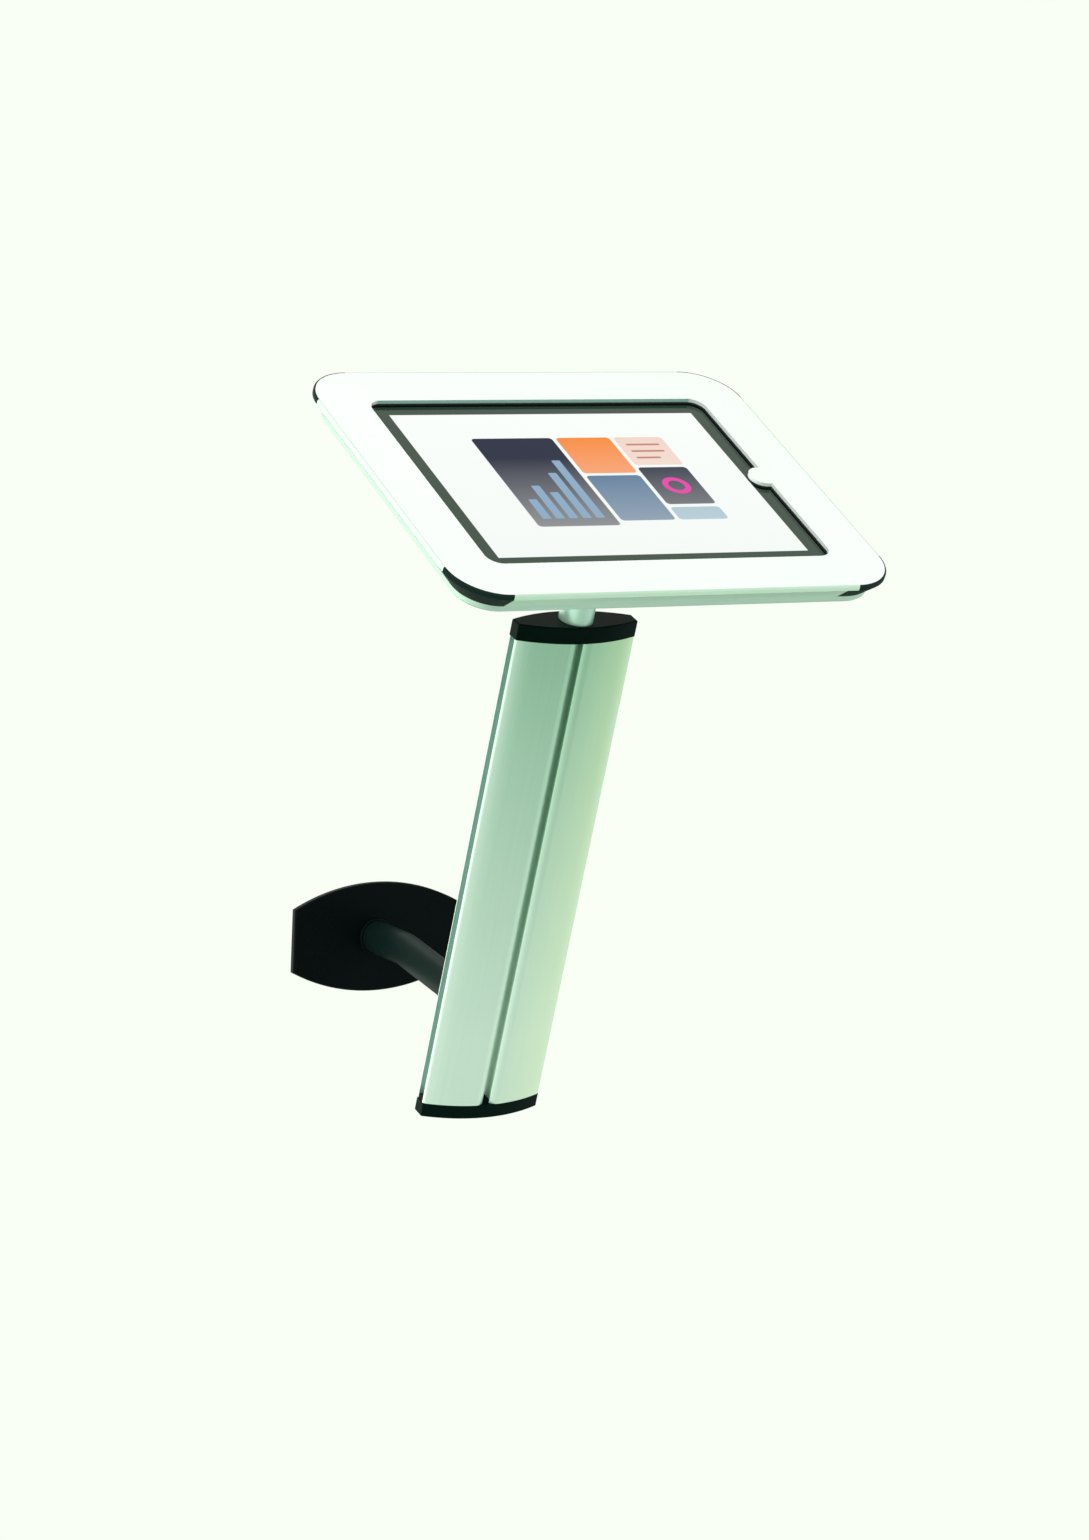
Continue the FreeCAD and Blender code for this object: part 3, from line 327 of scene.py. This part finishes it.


# Smooth white paint on the front panel, with painted shade on the opening's upper edge
whitePaint = {
    "dark": tone(240, 246, 240),
    "light": tone(248, 253, 247),
    "edge": tone(170, 212, 199),  # painted shade on the opening's upper edge, which gets the least light
    "edgeUp": 84.5,       # from the screen's centre
    "edgeBand": 0.2,      # up and down from there
    "edgeHalf": 104,
    "peelSize": 2.4,
    "cloudScale": 0.01,
    "rough": (0.28, 0.36),
    "bump": (0.2, 0.00002),
}


def makeWhitePaint():
    graph = newGraph("smoothWhitePaint")
    place = graph.millimetres(headOrigin, headTurn)
    peel = graph.noise(place, 1 / whitePaint["peelSize"])
    cloud = graph.noise(place, whitePaint["cloudScale"])
    across, up = graph.axes(place)[:2]
    # painted shade: a band on the opening's upper edge
    level = graph.maths("COMPARE", up, whitePaint["edgeUp"], whitePaint["edgeBand"])
    upper = level * graph.maths("LESS_THAN", graph.maths("ABSOLUTE", across), whitePaint["edgeHalf"])
    paint = graph.mix(cloud, whitePaint["dark"], whitePaint["light"])
    return graph.surface({
        "Base Color": graph.mix(upper, paint, whitePaint["edge"]),
        "Roughness": between(whitePaint["rough"], peel),
        "Normal": graph.bump(peel, *whitePaint["bump"]),
    })


# Lightly brushed sheet of the enclosure's tray
traySheet = {
    "dark": tone(176, 206, 188),
    "light": tone(200, 226, 210),
    "brushWidth": 0.7,
    "brushLength": 60,
    "rough": (0.42, 0.58),
    "metal": 0.45,
    "bump": (0.25, 0.00001),
}


def makeTraySheet():
    graph = newGraph("brushedSheet")
    place = graph.millimetres(headOrigin, headTurn)
    across = 1 / traySheet["brushWidth"]
    squeezed = graph.stretch(place, (1 / traySheet["brushLength"], across, across))
    brushed = graph.noise(squeezed, detail=4, rough=0.65)
    return graph.surface({
        "Base Color": graph.mix(brushed, traySheet["dark"], traySheet["light"]),
        "Metallic": traySheet["metal"],
        "Roughness": between(traySheet["rough"], brushed),
        "Normal": graph.bump(brushed, *traySheet["bump"]),
    })


# Satin silver of the round neck, turned on a lathe
turnedSilver = {
    "dark": tone(172, 210, 192),
    "light": tone(198, 232, 215),
    "turnPitch": 0.5,     # between the turning marks
    "turnScale": 0.01,    # round them
    "cloudScale": 0.08,
    "cloudPart": 0.6,
    "rough": (0.37, 0.47),
    "metal": 0.55,
    "bump": (0.2, 0.00001),
}


def makeTurnedSilver():
    graph = newGraph("turnedSilver")
    place = graph.millimetres(headOrigin, columnTurn)
    around = turnedSilver["turnScale"]
    turns = graph.noise(graph.stretch(place, (around, around, 1 / turnedSilver["turnPitch"])))
    cloud = graph.noise(place, turnedSilver["cloudScale"], detail=3)
    shade = weigh(turnedSilver["cloudPart"], cloud, turns)
    return graph.surface({
        "Base Color": graph.mix(shade, turnedSilver["dark"], turnedSilver["light"]),
        "Metallic": turnedSilver["metal"],
        "Roughness": between(turnedSilver["rough"], turns),
        "Normal": graph.bump(turns, *turnedSilver["bump"]),
    })


# Zinc plating on screws, pin, nuts, stud and spring
zincPlate = {
    "blue": tone(138, 147, 154),
    "yellow": tone(160, 158, 146),
    "bright": tone(174, 178, 178),
    "bloomScale": 0.35,
    "spotScale": 2.2,
    "rough": (0.26, 0.4),
    "metal": 1.0,
    "bump": (0.15, 0.00001),
}


def makeZincPlate():
    graph = newGraph("zincPlate")
    place = graph.millimetres()
    bloom = graph.noise(place, zincPlate["bloomScale"], detail=3, rough=0.6)
    spots = graph.noise(place, zincPlate["spotScale"])
    hue = graph.mix(bloom, zincPlate["blue"], zincPlate["yellow"])
    return graph.surface({
        "Base Color": graph.mix(spots, hue, zincPlate["bright"]),
        "Metallic": zincPlate["metal"],
        "Roughness": between(zincPlate["rough"], spots),
        "Normal": graph.bump(spots, *zincPlate["bump"]),
    })


# Off-white friction plastic of the washers in the two joints
frictionPlastic = {
    "dark": tone(214, 210, 196),
    "light": tone(236, 233, 222),
    "rubScale": 0.8,
    "rough": (0.5, 0.65),
    "bump": (0.2, 0.00002),
}


def makeFrictionPlastic():
    graph = newGraph("frictionPlastic")
    place = graph.millimetres()
    rubbed = graph.noise(place, frictionPlastic["rubScale"], detail=4, rough=0.6)
    return graph.surface({
        "Base Color": graph.mix(rubbed, frictionPlastic["dark"], frictionPlastic["light"]),
        "Roughness": between(frictionPlastic["rough"], rubbed),
        "Normal": graph.bump(rubbed, *frictionPlastic["bump"]),
    })


# Closed-cell foam of the pads that hold the tablet, and of the black strip of painted shade under the
# opening's edge
foamRubber = {
    "dark": tone(26, 28, 29),
    "light": tone(52, 55, 56),
    "cellSize": 0.6,
    "rough": (0.85, 0.95),
    "shine": 0.2,
    "bump": (0.5, 0.0001),
}


def makeFoam():
    graph = newGraph("closedCellFoam")
    place = graph.millimetres()
    cells = graph.add("ShaderNodeTexVoronoi", {"feature": "F1"}, {
        "Vector": place,
        "Scale": 1 / foamRubber["cellSize"],
    })
    return graph.surface({
        "Base Color": graph.mix(cells, foamRubber["light"], foamRubber["dark"]),
        "Roughness": between(foamRubber["rough"], cells),
        "Specular IOR Level": foamRubber["shine"],
        "Normal": graph.bump(cells, *foamRubber["bump"]),
    })


# Bead-blasted aluminium of the tablet's back
tabletShell = {
    "dark": tone(178, 181, 184),
    "light": tone(200, 203, 205),
    "blastScale": 5.0,
    "rough": (0.42, 0.54),
    "metal": 0.9,
    "bump": (0.3, 0.00001),
}


def makeTabletShell():
    graph = newGraph("beadBlastedShell")
    place = graph.millimetres(headOrigin, headTurn)
    blast = graph.noise(place, tabletShell["blastScale"])
    return graph.surface({
        "Base Color": graph.mix(blast, tabletShell["dark"], tabletShell["light"]),
        "Metallic": tabletShell["metal"],
        "Roughness": between(tabletShell["rough"], blast),
        "Normal": graph.bump(blast, *tabletShell["bump"]),
    })


# Wrapped battery cells, hidden in the tablet
cellWrap = {
    "dark": tone(22, 23, 25),
    "light": tone(48, 50, 54),
    "creaseScale": (0.3, 0.05, 1.0),
    "rough": (0.35, 0.55),
    "bump": (0.4, 0.00005),
}


def makeCellWrap():
    graph = newGraph("batteryWrap")
    place = graph.millimetres(headOrigin, headTurn)
    crease = graph.noise(graph.stretch(place, cellWrap["creaseScale"]), detail=4, rough=0.6)
    return graph.surface({
        "Base Color": graph.mix(crease, cellWrap["dark"], cellWrap["light"]),
        "Roughness": between(cellWrap["rough"], crease),
        "Normal": graph.bump(crease, *cellWrap["bump"]),
    })


# The glass over the display: a black border, and a plain page of tiles on a white screen. Places on it are
# across and up from its centre.
screen = {
    "across": 197.1,
    "up": 147.8,
    "corner": 0.3,
    "edgeLine": 0.9,      # black line round the page
    "edgeCorner": 1.0,
    "border": tone(3, 9, 7),
    "line": tone(1, 2, 2),
    "mirror": 0.62,       # how strongly the border mirrors what is round it
    "mirrorTint": tone(186, 255, 205),
    "pageMirror": 0.1,
    "page": tone(252, 255, 252),
    "pageLow": tone(247, 252, 248),
    "soft": 0.35,         # width over which an edge fades
    "glow": 0.95,
    "smearScale": 0.03,
    "rough": (0.03, 0.08),
    # tiles: centre, half width and half height, colour
    "tiles": [
        ((-33, 2), (26, 46), tone(12, 20, 56)),
        ((13, 29), (17.5, 19), tone(250, 134, 14)),
        ((13, -16), (17.5, 23.5), tone(94, 126, 158)),
        ((49, 33), (16, 15), tone(244, 214, 200)),
        ((49, -4), (16, 19.5), tone(18, 26, 58)),
        ((49, -33), (16, 6.5), tone(172, 198, 212)),
    ],
    "tileCorner": 2.5,
    "tileShade": (0.004, 0.9),  # strength of a tile's colour: gain per millimetre up, and at its centre
}

# A small bar chart on the first tile, three plain lines on the pale one and a ring on the dark one
screenMarks = {
    "barStart": -50,
    "barPitch": 8.5,
    "barHalf": 2.7,
    "barFoot": -36,
    "barHeights": (20, 34, 27, 47, 60),
    "bar": tone(140, 172, 200),
    "rules": [((49, 40), 11), ((49, 33), 11), ((46, 26), 8)],  # centre, half length
    "ruleHalf": 0.9,
    "rule": tone(196, 128, 116),
    "corner": 0.8,        # of bars and lines
    "ringCentre": (49, -4),
    "ringRadii": (8.5, 5),
    "ringFlat": 0.05,     # how much smaller a disc's corners are than its radius
    "ring": tone(236, 60, 170),
}


def roundedMask(graph, point, centre, half, corner):
    # 1 inside a rounded rectangle and 0 outside, from the distance to its edge
    reach = [graph.maths("ABSOLUTE", point[axis] - centre[axis]) - (half[axis] - corner) for axis in (0, 1)]
    beyond = [graph.maths("MAXIMUM", value, 0.0) for value in reach]
    outside = graph.maths("SQRT", beyond[0] * beyond[0] + beyond[1] * beyond[1])
    inside = graph.maths("MINIMUM", graph.maths("MAXIMUM", *reach), 0.0)
    distance = outside + inside - corner
    return graph.maths("SUBTRACT", 0.5, distance / screen["soft"], clamp=True)


def makePage(graph, point):
    # the colour of the lit page
    up = point[1]
    fade = graph.maths("ADD", 0.5, up / screen["up"], clamp=True)
    page = graph.mix(fade, screen["pageLow"], screen["page"])
    gain, middle = screen["tileShade"]
    for centre, half, colour in screen["tiles"]:
        tile = roundedMask(graph, point, centre, half, screen["tileCorner"])
        shade = graph.maths("MULTIPLY_ADD", up - centre[1], gain, middle, clamp=True)
        page = graph.mix(tile * shade, page, colour)
    for step, height in enumerate(screenMarks["barHeights"]):
        centre = (screenMarks["barStart"] + screenMarks["barPitch"] * step,
                  screenMarks["barFoot"] + height / 2)
        half = (screenMarks["barHalf"], height / 2)
        bar = roundedMask(graph, point, centre, half, screenMarks["corner"])
        page = graph.mix(bar, page, screenMarks["bar"])
    for centre, length in screenMarks["rules"]:
        rule = roundedMask(graph, point, centre, (length, screenMarks["ruleHalf"]), screenMarks["corner"])
        page = graph.mix(rule, page, screenMarks["rule"])
    disc, hole = [roundedMask(graph, point, screenMarks["ringCentre"], (radius, radius),
                              radius - screenMarks["ringFlat"]) for radius in screenMarks["ringRadii"]]
    return graph.mix(disc * (1 - hole), page, screenMarks["ring"])


def makeScreenGlass():
    graph = newGraph("screenGlass")
    place = graph.millimetres(headOrigin, headTurn)
    point = graph.axes(place)[:2]
    half = (screen["across"] / 2, screen["up"] / 2)
    edgeHalf = [length + screen["edgeLine"] for length in half]
    display = roundedMask(graph, point, (0, 0), half, screen["corner"])
    edge = roundedMask(graph, point, (0, 0), edgeHalf, screen["edgeCorner"])
    page = makePage(graph, point)
    smear = graph.noise(place, screen["smearScale"], detail=4, rough=0.6)
    rough = between(screen["rough"], smear)
    return graph.surface({
        "Base Color": graph.mix(edge, screen["border"], screen["line"]),
        "Roughness": rough,
        "Specular IOR Level": screen["mirror"],
        "Specular Tint": screen["mirrorTint"],
    }, {
        "Base Color": graph.mix(smear, screen["line"], screen["border"]),
        "Roughness": rough,
        "Specular IOR Level": screen["pageMirror"],
        "Emission Color": page,
        "Emission Strength": screen["glow"],
    }, display)


# The display behind the glass, which is hidden while the glass is in place
displayPanel = {
    "dark": tone(206, 212, 214),
    "light": tone(226, 231, 232),
    "rowScale": (0.02, 6.0, 0.02),
    "rough": (0.25, 0.35),
}


def makeDisplayPanel():
    graph = newGraph("displayPanel")
    place = graph.millimetres(headOrigin, headTurn)
    rows = graph.noise(graph.stretch(place, displayPanel["rowScale"]), detail=1)
    return graph.surface({
        "Base Color": graph.mix(rows, displayPanel["dark"], displayPanel["light"]),
        "Roughness": between(displayPanel["rough"], rows),
    })


black = makePowderCoat("blackPowderCoat", *powderCoat["plain"])
capBlack = makeMouldedPlastic("capBlack", *mouldedPlastic["caps"])
cornerBlack = makeMouldedPlastic("cornerBlack", *mouldedPlastic["corners"])
buttonBlack = makeMouldedPlastic("buttonBlack", *mouldedPlastic["button"])
zinc = makeZincPlate()
silverNeck = makeTurnedSilver()
friction = makeFrictionPlastic()
foam = makeFoam()
dress(black, "wall_plate", "screw_covers", "column_saddle", "tilt_fork", "swivel_plate")
# the arm's lighter coat is painted light
dress(makePowderCoat("armPowderCoat", *powderCoat["arm"]), "arm_tube")
dress(capBlack, "top_cap", "bottom_cap")
dress(cornerBlack, "corner_back_right", "corner_back_left", "corner_front_left", "corner_front_right")
dress(buttonBlack, "home_button")
dress(zinc, "saddle_screws", "slot_nuts", "neck_stud", "tilt_pin", "tilt_nut")
dress(zinc, "swivel_spring", "swivel_bolt", "swivel_screws", "corner_screws")
dress(silverNeck, "neck_tube", "neck_knuckle")
dress(friction, "tilt_washers", "swivel_washer")
dress(makeAnodised("anodisedColumn", columnTurn, 2, columnColour), "column_profile")
dress(makeAnodised("anodisedRailsAcross", headTurn, 0, railColour), "rail_front", "rail_back")
dress(makeAnodised("anodisedRailsUp", headTurn, 1, railColour), "rail_left", "rail_right")
dress(makeWhitePaint(), "front_panel")
dress(makeTraySheet(), "back_tray")
dress(makeTabletShell(), "tablet_back")
dress(makeCellWrap(), "battery_cells")
dress(makeDisplayPanel(), "display_panel")
dress(makeScreenGlass(), "tablet_glass")
print("finishes made:", len(bpy.data.materials), "materials")


def deselectAll():
    bpy.ops.object.select_all(action="DESELECT")


def settle(name, material, body):
    # the active object becomes a piece: its place goes into its mesh
    piece = bpy.context.object
    bpy.ops.object.transform_apply(location=True, rotation=True, scale=True)
    piece.name = name
    piece.data.name = name
    piece.data.materials.clear()
    piece.data.materials.append(material)
    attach(piece, body)
    return piece


def selectWhere(kind, test):
    # selects the faces or edges of the mesh in edit mode that pass a test
    mesh = bmesh.from_edit_mesh(bpy.context.object.data)
    for item in [*mesh.verts, *mesh.edges, *mesh.faces]:
        item.select = False
    for item in getattr(mesh, kind):
        if test(item):
            item.select_set(True)
    bmesh.update_edit_mesh(bpy.context.object.data)


def solidsOf(name, origin, turn):
    # the low and high corners of each separate solid of a node, in a frame turned about X
    back = Matrix.Rotation(-turn, 4, "X") @ Matrix.Translation(-origin)
    mesh = bmesh.new()
    mesh.from_mesh(nodes[name].data)
    bmesh.ops.remove_doubles(mesh, verts=mesh.verts, dist=0.000001)
    found, seen = [], set()
    for start in mesh.verts:
        if start.index in seen:
            continue
        group, waiting = [], [start]
        seen.add(start.index)
        while waiting:
            vertex = waiting.pop()
            group.append(back @ vertex.co)
            for edge in vertex.link_edges:
                other = edge.other_vert(vertex)
                if other.index not in seen:
                    seen.add(other.index)
                    waiting.append(other)
        low = Vector([min(point[axis] for point in group) for axis in range(3)])
        high = Vector([max(point[axis] for point in group) for axis in range(3)])
        found.append((low, high))
    mesh.free()
    return found


# Foam pads under the tablet and bumpers beside it
foamPads = {
    "edge": 0.0006,       # rounding of the cut edges
    "edgePart": 0.2,      # the rounding is at most this part of the pad's thinnest side
    "edgeSteps": 3,
    "crown": 0.0004,      # rise of the middle of the free faces
    "crownCuts": 5,
    "facePart": 0.99,     # points further out than this part of the rounding lie on a face
    "smoothAngle": 50,
}


def crownFaces(edge, reach):
    # raises each face of the pad in edit mode towards its middle
    mesh = bmesh.from_edit_mesh(bpy.context.object.data)
    for vertex in mesh.verts:
        for axis in range(3):
            if abs(vertex.co[axis]) > reach[axis] + edge * foamPads["facePart"]:
                share = 1.0
                for other in range(3):
                    if other != axis:
                        share *= max(0.0, 1 - (vertex.co[other] / (reach[other] + edge)) ** 2)
                vertex.co[axis] += math.copysign(foamPads["crown"] * share, vertex.co[axis])
    bmesh.update_edit_mesh(bpy.context.object.data)


def makeFoamPieces(name, node):
    spread = Matrix.Translation(headOrigin) @ Matrix.Rotation(headTurn, 4, "X")
    made = []
    for low, high in solidsOf(node, headOrigin, headTurn):
        middle, size = (low + high) / 2, high - low
        edge = min(foamPads["edge"], min(size) * foamPads["edgePart"])
        deselectAll()
        bpy.ops.mesh.primitive_cube_add(size=1, location=(0, 0, 0))
        bpy.ops.object.mode_set(mode="EDIT")
        bpy.ops.transform.resize(value=[length - 2 * foamPads["crown"] for length in size])
        bpy.ops.mesh.select_all(action="SELECT")
        bpy.ops.mesh.bevel(offset=edge, segments=foamPads["edgeSteps"], affect="EDGES")
        selectWhere("faces", lambda face: face.calc_area() > (2 * edge) ** 2)  # not the rounding's
        bpy.ops.mesh.subdivide(number_cuts=foamPads["crownCuts"], smoothness=0)
        crownFaces(edge, [length / 2 - foamPads["crown"] - edge for length in size])
        bpy.ops.object.mode_set(mode="OBJECT")
        bpy.context.object.matrix_world = spread @ Matrix.Translation(middle)
        bpy.ops.object.transform_apply(location=True, rotation=True, scale=True)
        made.append(bpy.context.object)
    deselectAll()
    for piece in made:
        piece.select_set(True)
    bpy.context.view_layer.objects.active = made[0]
    bpy.ops.object.join()
    bpy.ops.object.shade_smooth_by_angle(angle=math.radians(foamPads["smoothAngle"]))
    piece = settle(name, foam, "head")
    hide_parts(node)
    print("foam made:", name, len(made), "pads")


makeFoamPieces("foamPads", "cushion_pads")
makeFoamPieces("foamBumpers", "side_bumpers")


# Weld bead where the arm meets the wall plate
armWeld = {
    "tubeRadius": 0.010,
    "bead": 0.0012,
    "beadOut": 0.35,      # the bead's middle, in bead radii outside the tube
    "beadForward": 0.2,   # and in front of the plate's face
    "sections": 12,
    "plateFace": -0.004,
    "ripples": 48,
    "ripple": 0.00018,
    "rippleSteps": 4,
    "rippleForward": 0.6,
    # slow waves round the bead: share of a ripple, number of waves, start
    "waves": [(0.35, 3, 1.1), (0.25, 7, 0)],
}


def makeArmWeld():
    deselectAll()
    bpy.ops.mesh.primitive_torus_add(
        major_radius=armWeld["tubeRadius"] + armWeld["bead"] * armWeld["beadOut"],
        minor_radius=armWeld["bead"],
        major_segments=armWeld["ripples"] * armWeld["rippleSteps"],
        minor_segments=armWeld["sections"],
        rotation=(math.pi / 2, 0, 0),
        location=(0, armWeld["plateFace"] - armWeld["bead"] * armWeld["beadForward"], 0),
    )
    bpy.ops.object.transform_apply(location=True, rotation=True, scale=True)
    bpy.ops.object.mode_set(mode="EDIT")
    mesh = bmesh.from_edit_mesh(bpy.context.object.data)
    for vertex in mesh.verts:
        angle = math.atan2(vertex.co.z, vertex.co.x)
        lean = Vector((vertex.co.x, 0, vertex.co.z)).normalized()
        ripple = abs(math.sin(angle * armWeld["ripples"] / 2))
        drift = sum(share * math.sin(angle * count + start) for share, count, start in armWeld["waves"])
        vertex.co += lean * armWeld["ripple"] * (ripple + drift)
        vertex.co.y -= armWeld["ripple"] * ripple * armWeld["rippleForward"]
    bmesh.update_edit_mesh(bpy.context.object.data)
    bpy.ops.object.mode_set(mode="OBJECT")
    bpy.ops.object.shade_smooth()
    settle("armWeldBead", black, "base")
    print("weld bead made")


makeArmWeld()


# Painted shade: a thin black strip under the opening's edge, round the tab too, where there is only shade
openingSeal = {
    "halfAcross": 0.1091,
    "halfUp": 0.0845,
    "corner": 0.009,
    "cornerSteps": 16,
    "tabCentre": 0.1073,  # from the screen's centre
    "tabRadius": 0.0085,
    "tabSides": 96,
    "tabDepth": 0.02,     # of the cylinder that cuts the tab out
    "width": 0.0004,      # how far it stands into the opening
    "low": 0.00004,       # above the glass
    "high": 0.0011,
    "cutterHeight": 0.0044,
}


def cutWith(body, tool):
    deselectAll()
    bpy.context.view_layer.objects.active = body
    cut = body.modifiers.new("cut", "BOOLEAN")
    cut.operation = "DIFFERENCE"
    cut.object = tool
    cut.solver = "EXACT"
    bpy.ops.object.modifier_apply(modifier="cut")
    bpy.data.objects.remove(tool)


def makeShadeStripBlank(inset, height):
    # a slab of the opening's outline, set in by a width and with the tab cut out
    deselectAll()
    middle = (openingSeal["high"] + openingSeal["low"]) / 2
    bpy.ops.mesh.primitive_cube_add(size=1, location=(0, 0, middle))
    slab = bpy.context.object
    bpy.ops.object.mode_set(mode="EDIT")
    across, up = openingSeal["halfAcross"] - inset, openingSeal["halfUp"] - inset
    bpy.ops.transform.resize(value=(across * 2, up * 2, height))
    selectWhere("edges", lambda edge: abs(edge.verts[0].co.z - edge.verts[1].co.z) > height / 2)
    bpy.ops.mesh.bevel(offset=openingSeal["corner"] - inset, segments=openingSeal["cornerSteps"],
                       affect="EDGES")
    bpy.ops.object.mode_set(mode="OBJECT")
    bpy.ops.mesh.primitive_cylinder_add(
        vertices=openingSeal["tabSides"], radius=openingSeal["tabRadius"] + inset,
        depth=openingSeal["tabDepth"], location=(openingSeal["tabCentre"], 0, 0))
    cutWith(slab, bpy.context.object)
    return slab


def makeOpeningShadeStrip():
    # painted shade: a black strip standing where there is only shade
    shadeStrip = makeShadeStripBlank(0, openingSeal["high"] - openingSeal["low"])
    cutWith(shadeStrip, makeShadeStripBlank(openingSeal["width"], openingSeal["cutterHeight"]))
    deselectAll()
    shadeStrip.select_set(True)
    bpy.context.view_layer.objects.active = shadeStrip
    glass = nodes["tablet_glass"].data.vertices
    seat = max((vertex.co - headOrigin).dot(headNormal) for vertex in glass)
    shadeStrip.matrix_world = (Matrix.Translation(headOrigin) @ Matrix.Rotation(headTurn, 4, "X")
                         @ Matrix.Translation((0, 0, seat)) @ shadeStrip.matrix_world)
    piece = settle("openingSeal", foam, "head")
    print("seal made:", len(piece.data.polygons), "faces")


makeOpeningShadeStrip()


# Camera at the photograph's place, and the long side's lens
photoView = {
    "position": (-1.3409, -2.5599, 0.5851),
    "right": (0.8718, -0.4879, 0.0430),
    "up": (0.0427, 0.1632, 0.9857),
    "lens": 112.03,
    "sensor": 36,
    "clip": (0.05, 60),
}


def makeCamera():
    data = bpy.data.cameras.new("photoCamera")
    data.lens = photoView["lens"]
    data.sensor_width = photoView["sensor"]
    data.clip_start, data.clip_end = photoView["clip"]
    camera = bpy.data.objects.new("photoCamera", data)
    bpy.context.scene.collection.objects.link(camera)
    right = Vector(photoView["right"]).normalized()
    back = right.cross(Vector(photoView["up"])).normalized()
    up = back.cross(right)
    turn = Matrix((right, up, back)).transposed().to_4x4()
    camera.matrix_world = Matrix.Translation(photoView["position"]) @ turn
    bpy.context.scene.camera = camera


# Soft studio light, and a pale background that only the camera and reflections see
studio = {
    "background": tone(249, 255, 245),
    "high": 0.9,          # light from above
    "low": 0.32,          # light from below
    "lowTone": tone(206, 240, 226),
    "around": 0.95,       # what shiny faces reflect round the holder
    # brighter and darker places in what they reflect: direction, spread, strength
    "glints": [
        ((-1.0, -0.15, 0.05), 0.3, 1.6),
        ((1.0, 0.1, -0.35), 0.6, 0.45),
        ((-0.5, 0.86, -0.16), 0.6, 1.5),
        ((0.45, 0.7, -0.55), 0.6, -0.95),
    ],
    # name, place, size, watts
    "lamps": [
        ("keyLamp", (-1.5, -1.4, 1.9), 1.3, 20),
        ("fillLamp", (1.8, -1.2, 0.9), 1.2, 7),
        ("backLamp", (0.4, 1.6, 1.5), 1.2, 7),
    ],
    "target": (0, -0.2, 0.15),
    "floor": tone(238, 246, 236),
    "floorHeight": -1.1,
    "floorRadius": 1.6,
    "floorSides": 96,
    "floorFade": 2.6,     # the floor fades out over the last radius / 2.6, up to its rim
}


def makeWorld():
    world = bpy.data.worlds.new("paleStudio")
    bpy.context.scene.world = world
    graph = Graph(world)
    place = graph.add("ShaderNodeTexCoord", output="Generated")
    rise = graph.axes(place)[2]
    climb = graph.maths("MULTIPLY_ADD", rise, 0.5, 0.5, clamp=True)  # 0 below, 1 above
    soft = graph.add("ShaderNodeBackground", None, {
        "Color": graph.mix(climb, studio["lowTone"], (1, 1, 1, 1)),
        "Strength": between((studio["low"], studio["high"]), climb),
    })
    mirrored = studio["around"]
    for towards, spread, strength in studio["glints"]:
        aim = Vector(towards).normalized()
        near = graph.add("ShaderNodeVectorMath", {"operation": "DOT_PRODUCT"}, {0: place, 1: aim}, "Value")
        mirrored = mirrored + graph.ramp(near, (spread, 1)) * strength
    shine = graph.add("ShaderNodeBackground", None, {"Color": studio["background"], "Strength": mirrored})
    plain = graph.add("ShaderNodeBackground", None, {"Color": studio["background"], "Strength": 1.0})
    seenBy, glossy, through = [graph.add("ShaderNodeLightPath", output=name) for name in
                               ("Is Camera Ray", "Is Glossy Ray", "Is Transmission Ray")]
    shiny = graph.maths("MAXIMUM", glossy, through)
    lit = graph.add("ShaderNodeMixShader", None, {0: shiny, 1: soft, 2: shine})
    seen = graph.add("ShaderNodeMixShader", None, {0: seenBy, 1: lit, 2: plain})
    graph.add("ShaderNodeOutputWorld", None, {"Surface": seen})


def makeLamps():
    for name, place, size, watts in studio["lamps"]:
        data = bpy.data.lights.new(name, "AREA")
        data.shape = "DISK"
        data.size = size
        data.energy = watts
        lamp = bpy.data.objects.new(name, data)
        bpy.context.scene.collection.objects.link(lamp)
        away = Vector(place) - Vector(studio["target"])
        turn = away.to_track_quat("Z", "Y").to_matrix().to_4x4()
        lamp.matrix_world = Matrix.Translation(place) @ turn


def makeFloor():
    deselectAll()
    bpy.ops.mesh.primitive_circle_add(
        vertices=studio["floorSides"], radius=studio["floorRadius"], fill_type="NGON",
        location=(0, 0, studio["floorHeight"]))
    floor = bpy.context.object
    floor.name = "paleFloor"
    graph = newGraph("paleFloorFinish")
    place = graph.add("ShaderNodeTexCoord", output="Object")
    away = graph.add("ShaderNodeVectorMath", {"operation": "LENGTH"}, {0: place}, "Value")
    rim = away / studio["floorRadius"] * studio["floorFade"]
    fade = graph.maths("SUBTRACT", studio["floorFade"], rim, clamp=True)
    paint = graph.add("ShaderNodeBsdfDiffuse", None, {"Color": studio["floor"]})
    clear = graph.add("ShaderNodeBsdfTransparent")
    behind = graph.add("ShaderNodeNewGeometry", output="Backfacing")
    shown = graph.add("ShaderNodeMixShader", None, {0: fade * (1 - behind), 1: clear, 2: paint})
    graph.add("ShaderNodeOutputMaterial", None, {"Surface": shown})
    floor.data.materials.append(graph.owner)


makeCamera()
makeWorld()
makeLamps()
makeFloor()
bpy.context.scene.view_settings.view_transform = "Standard"
print("studio made")
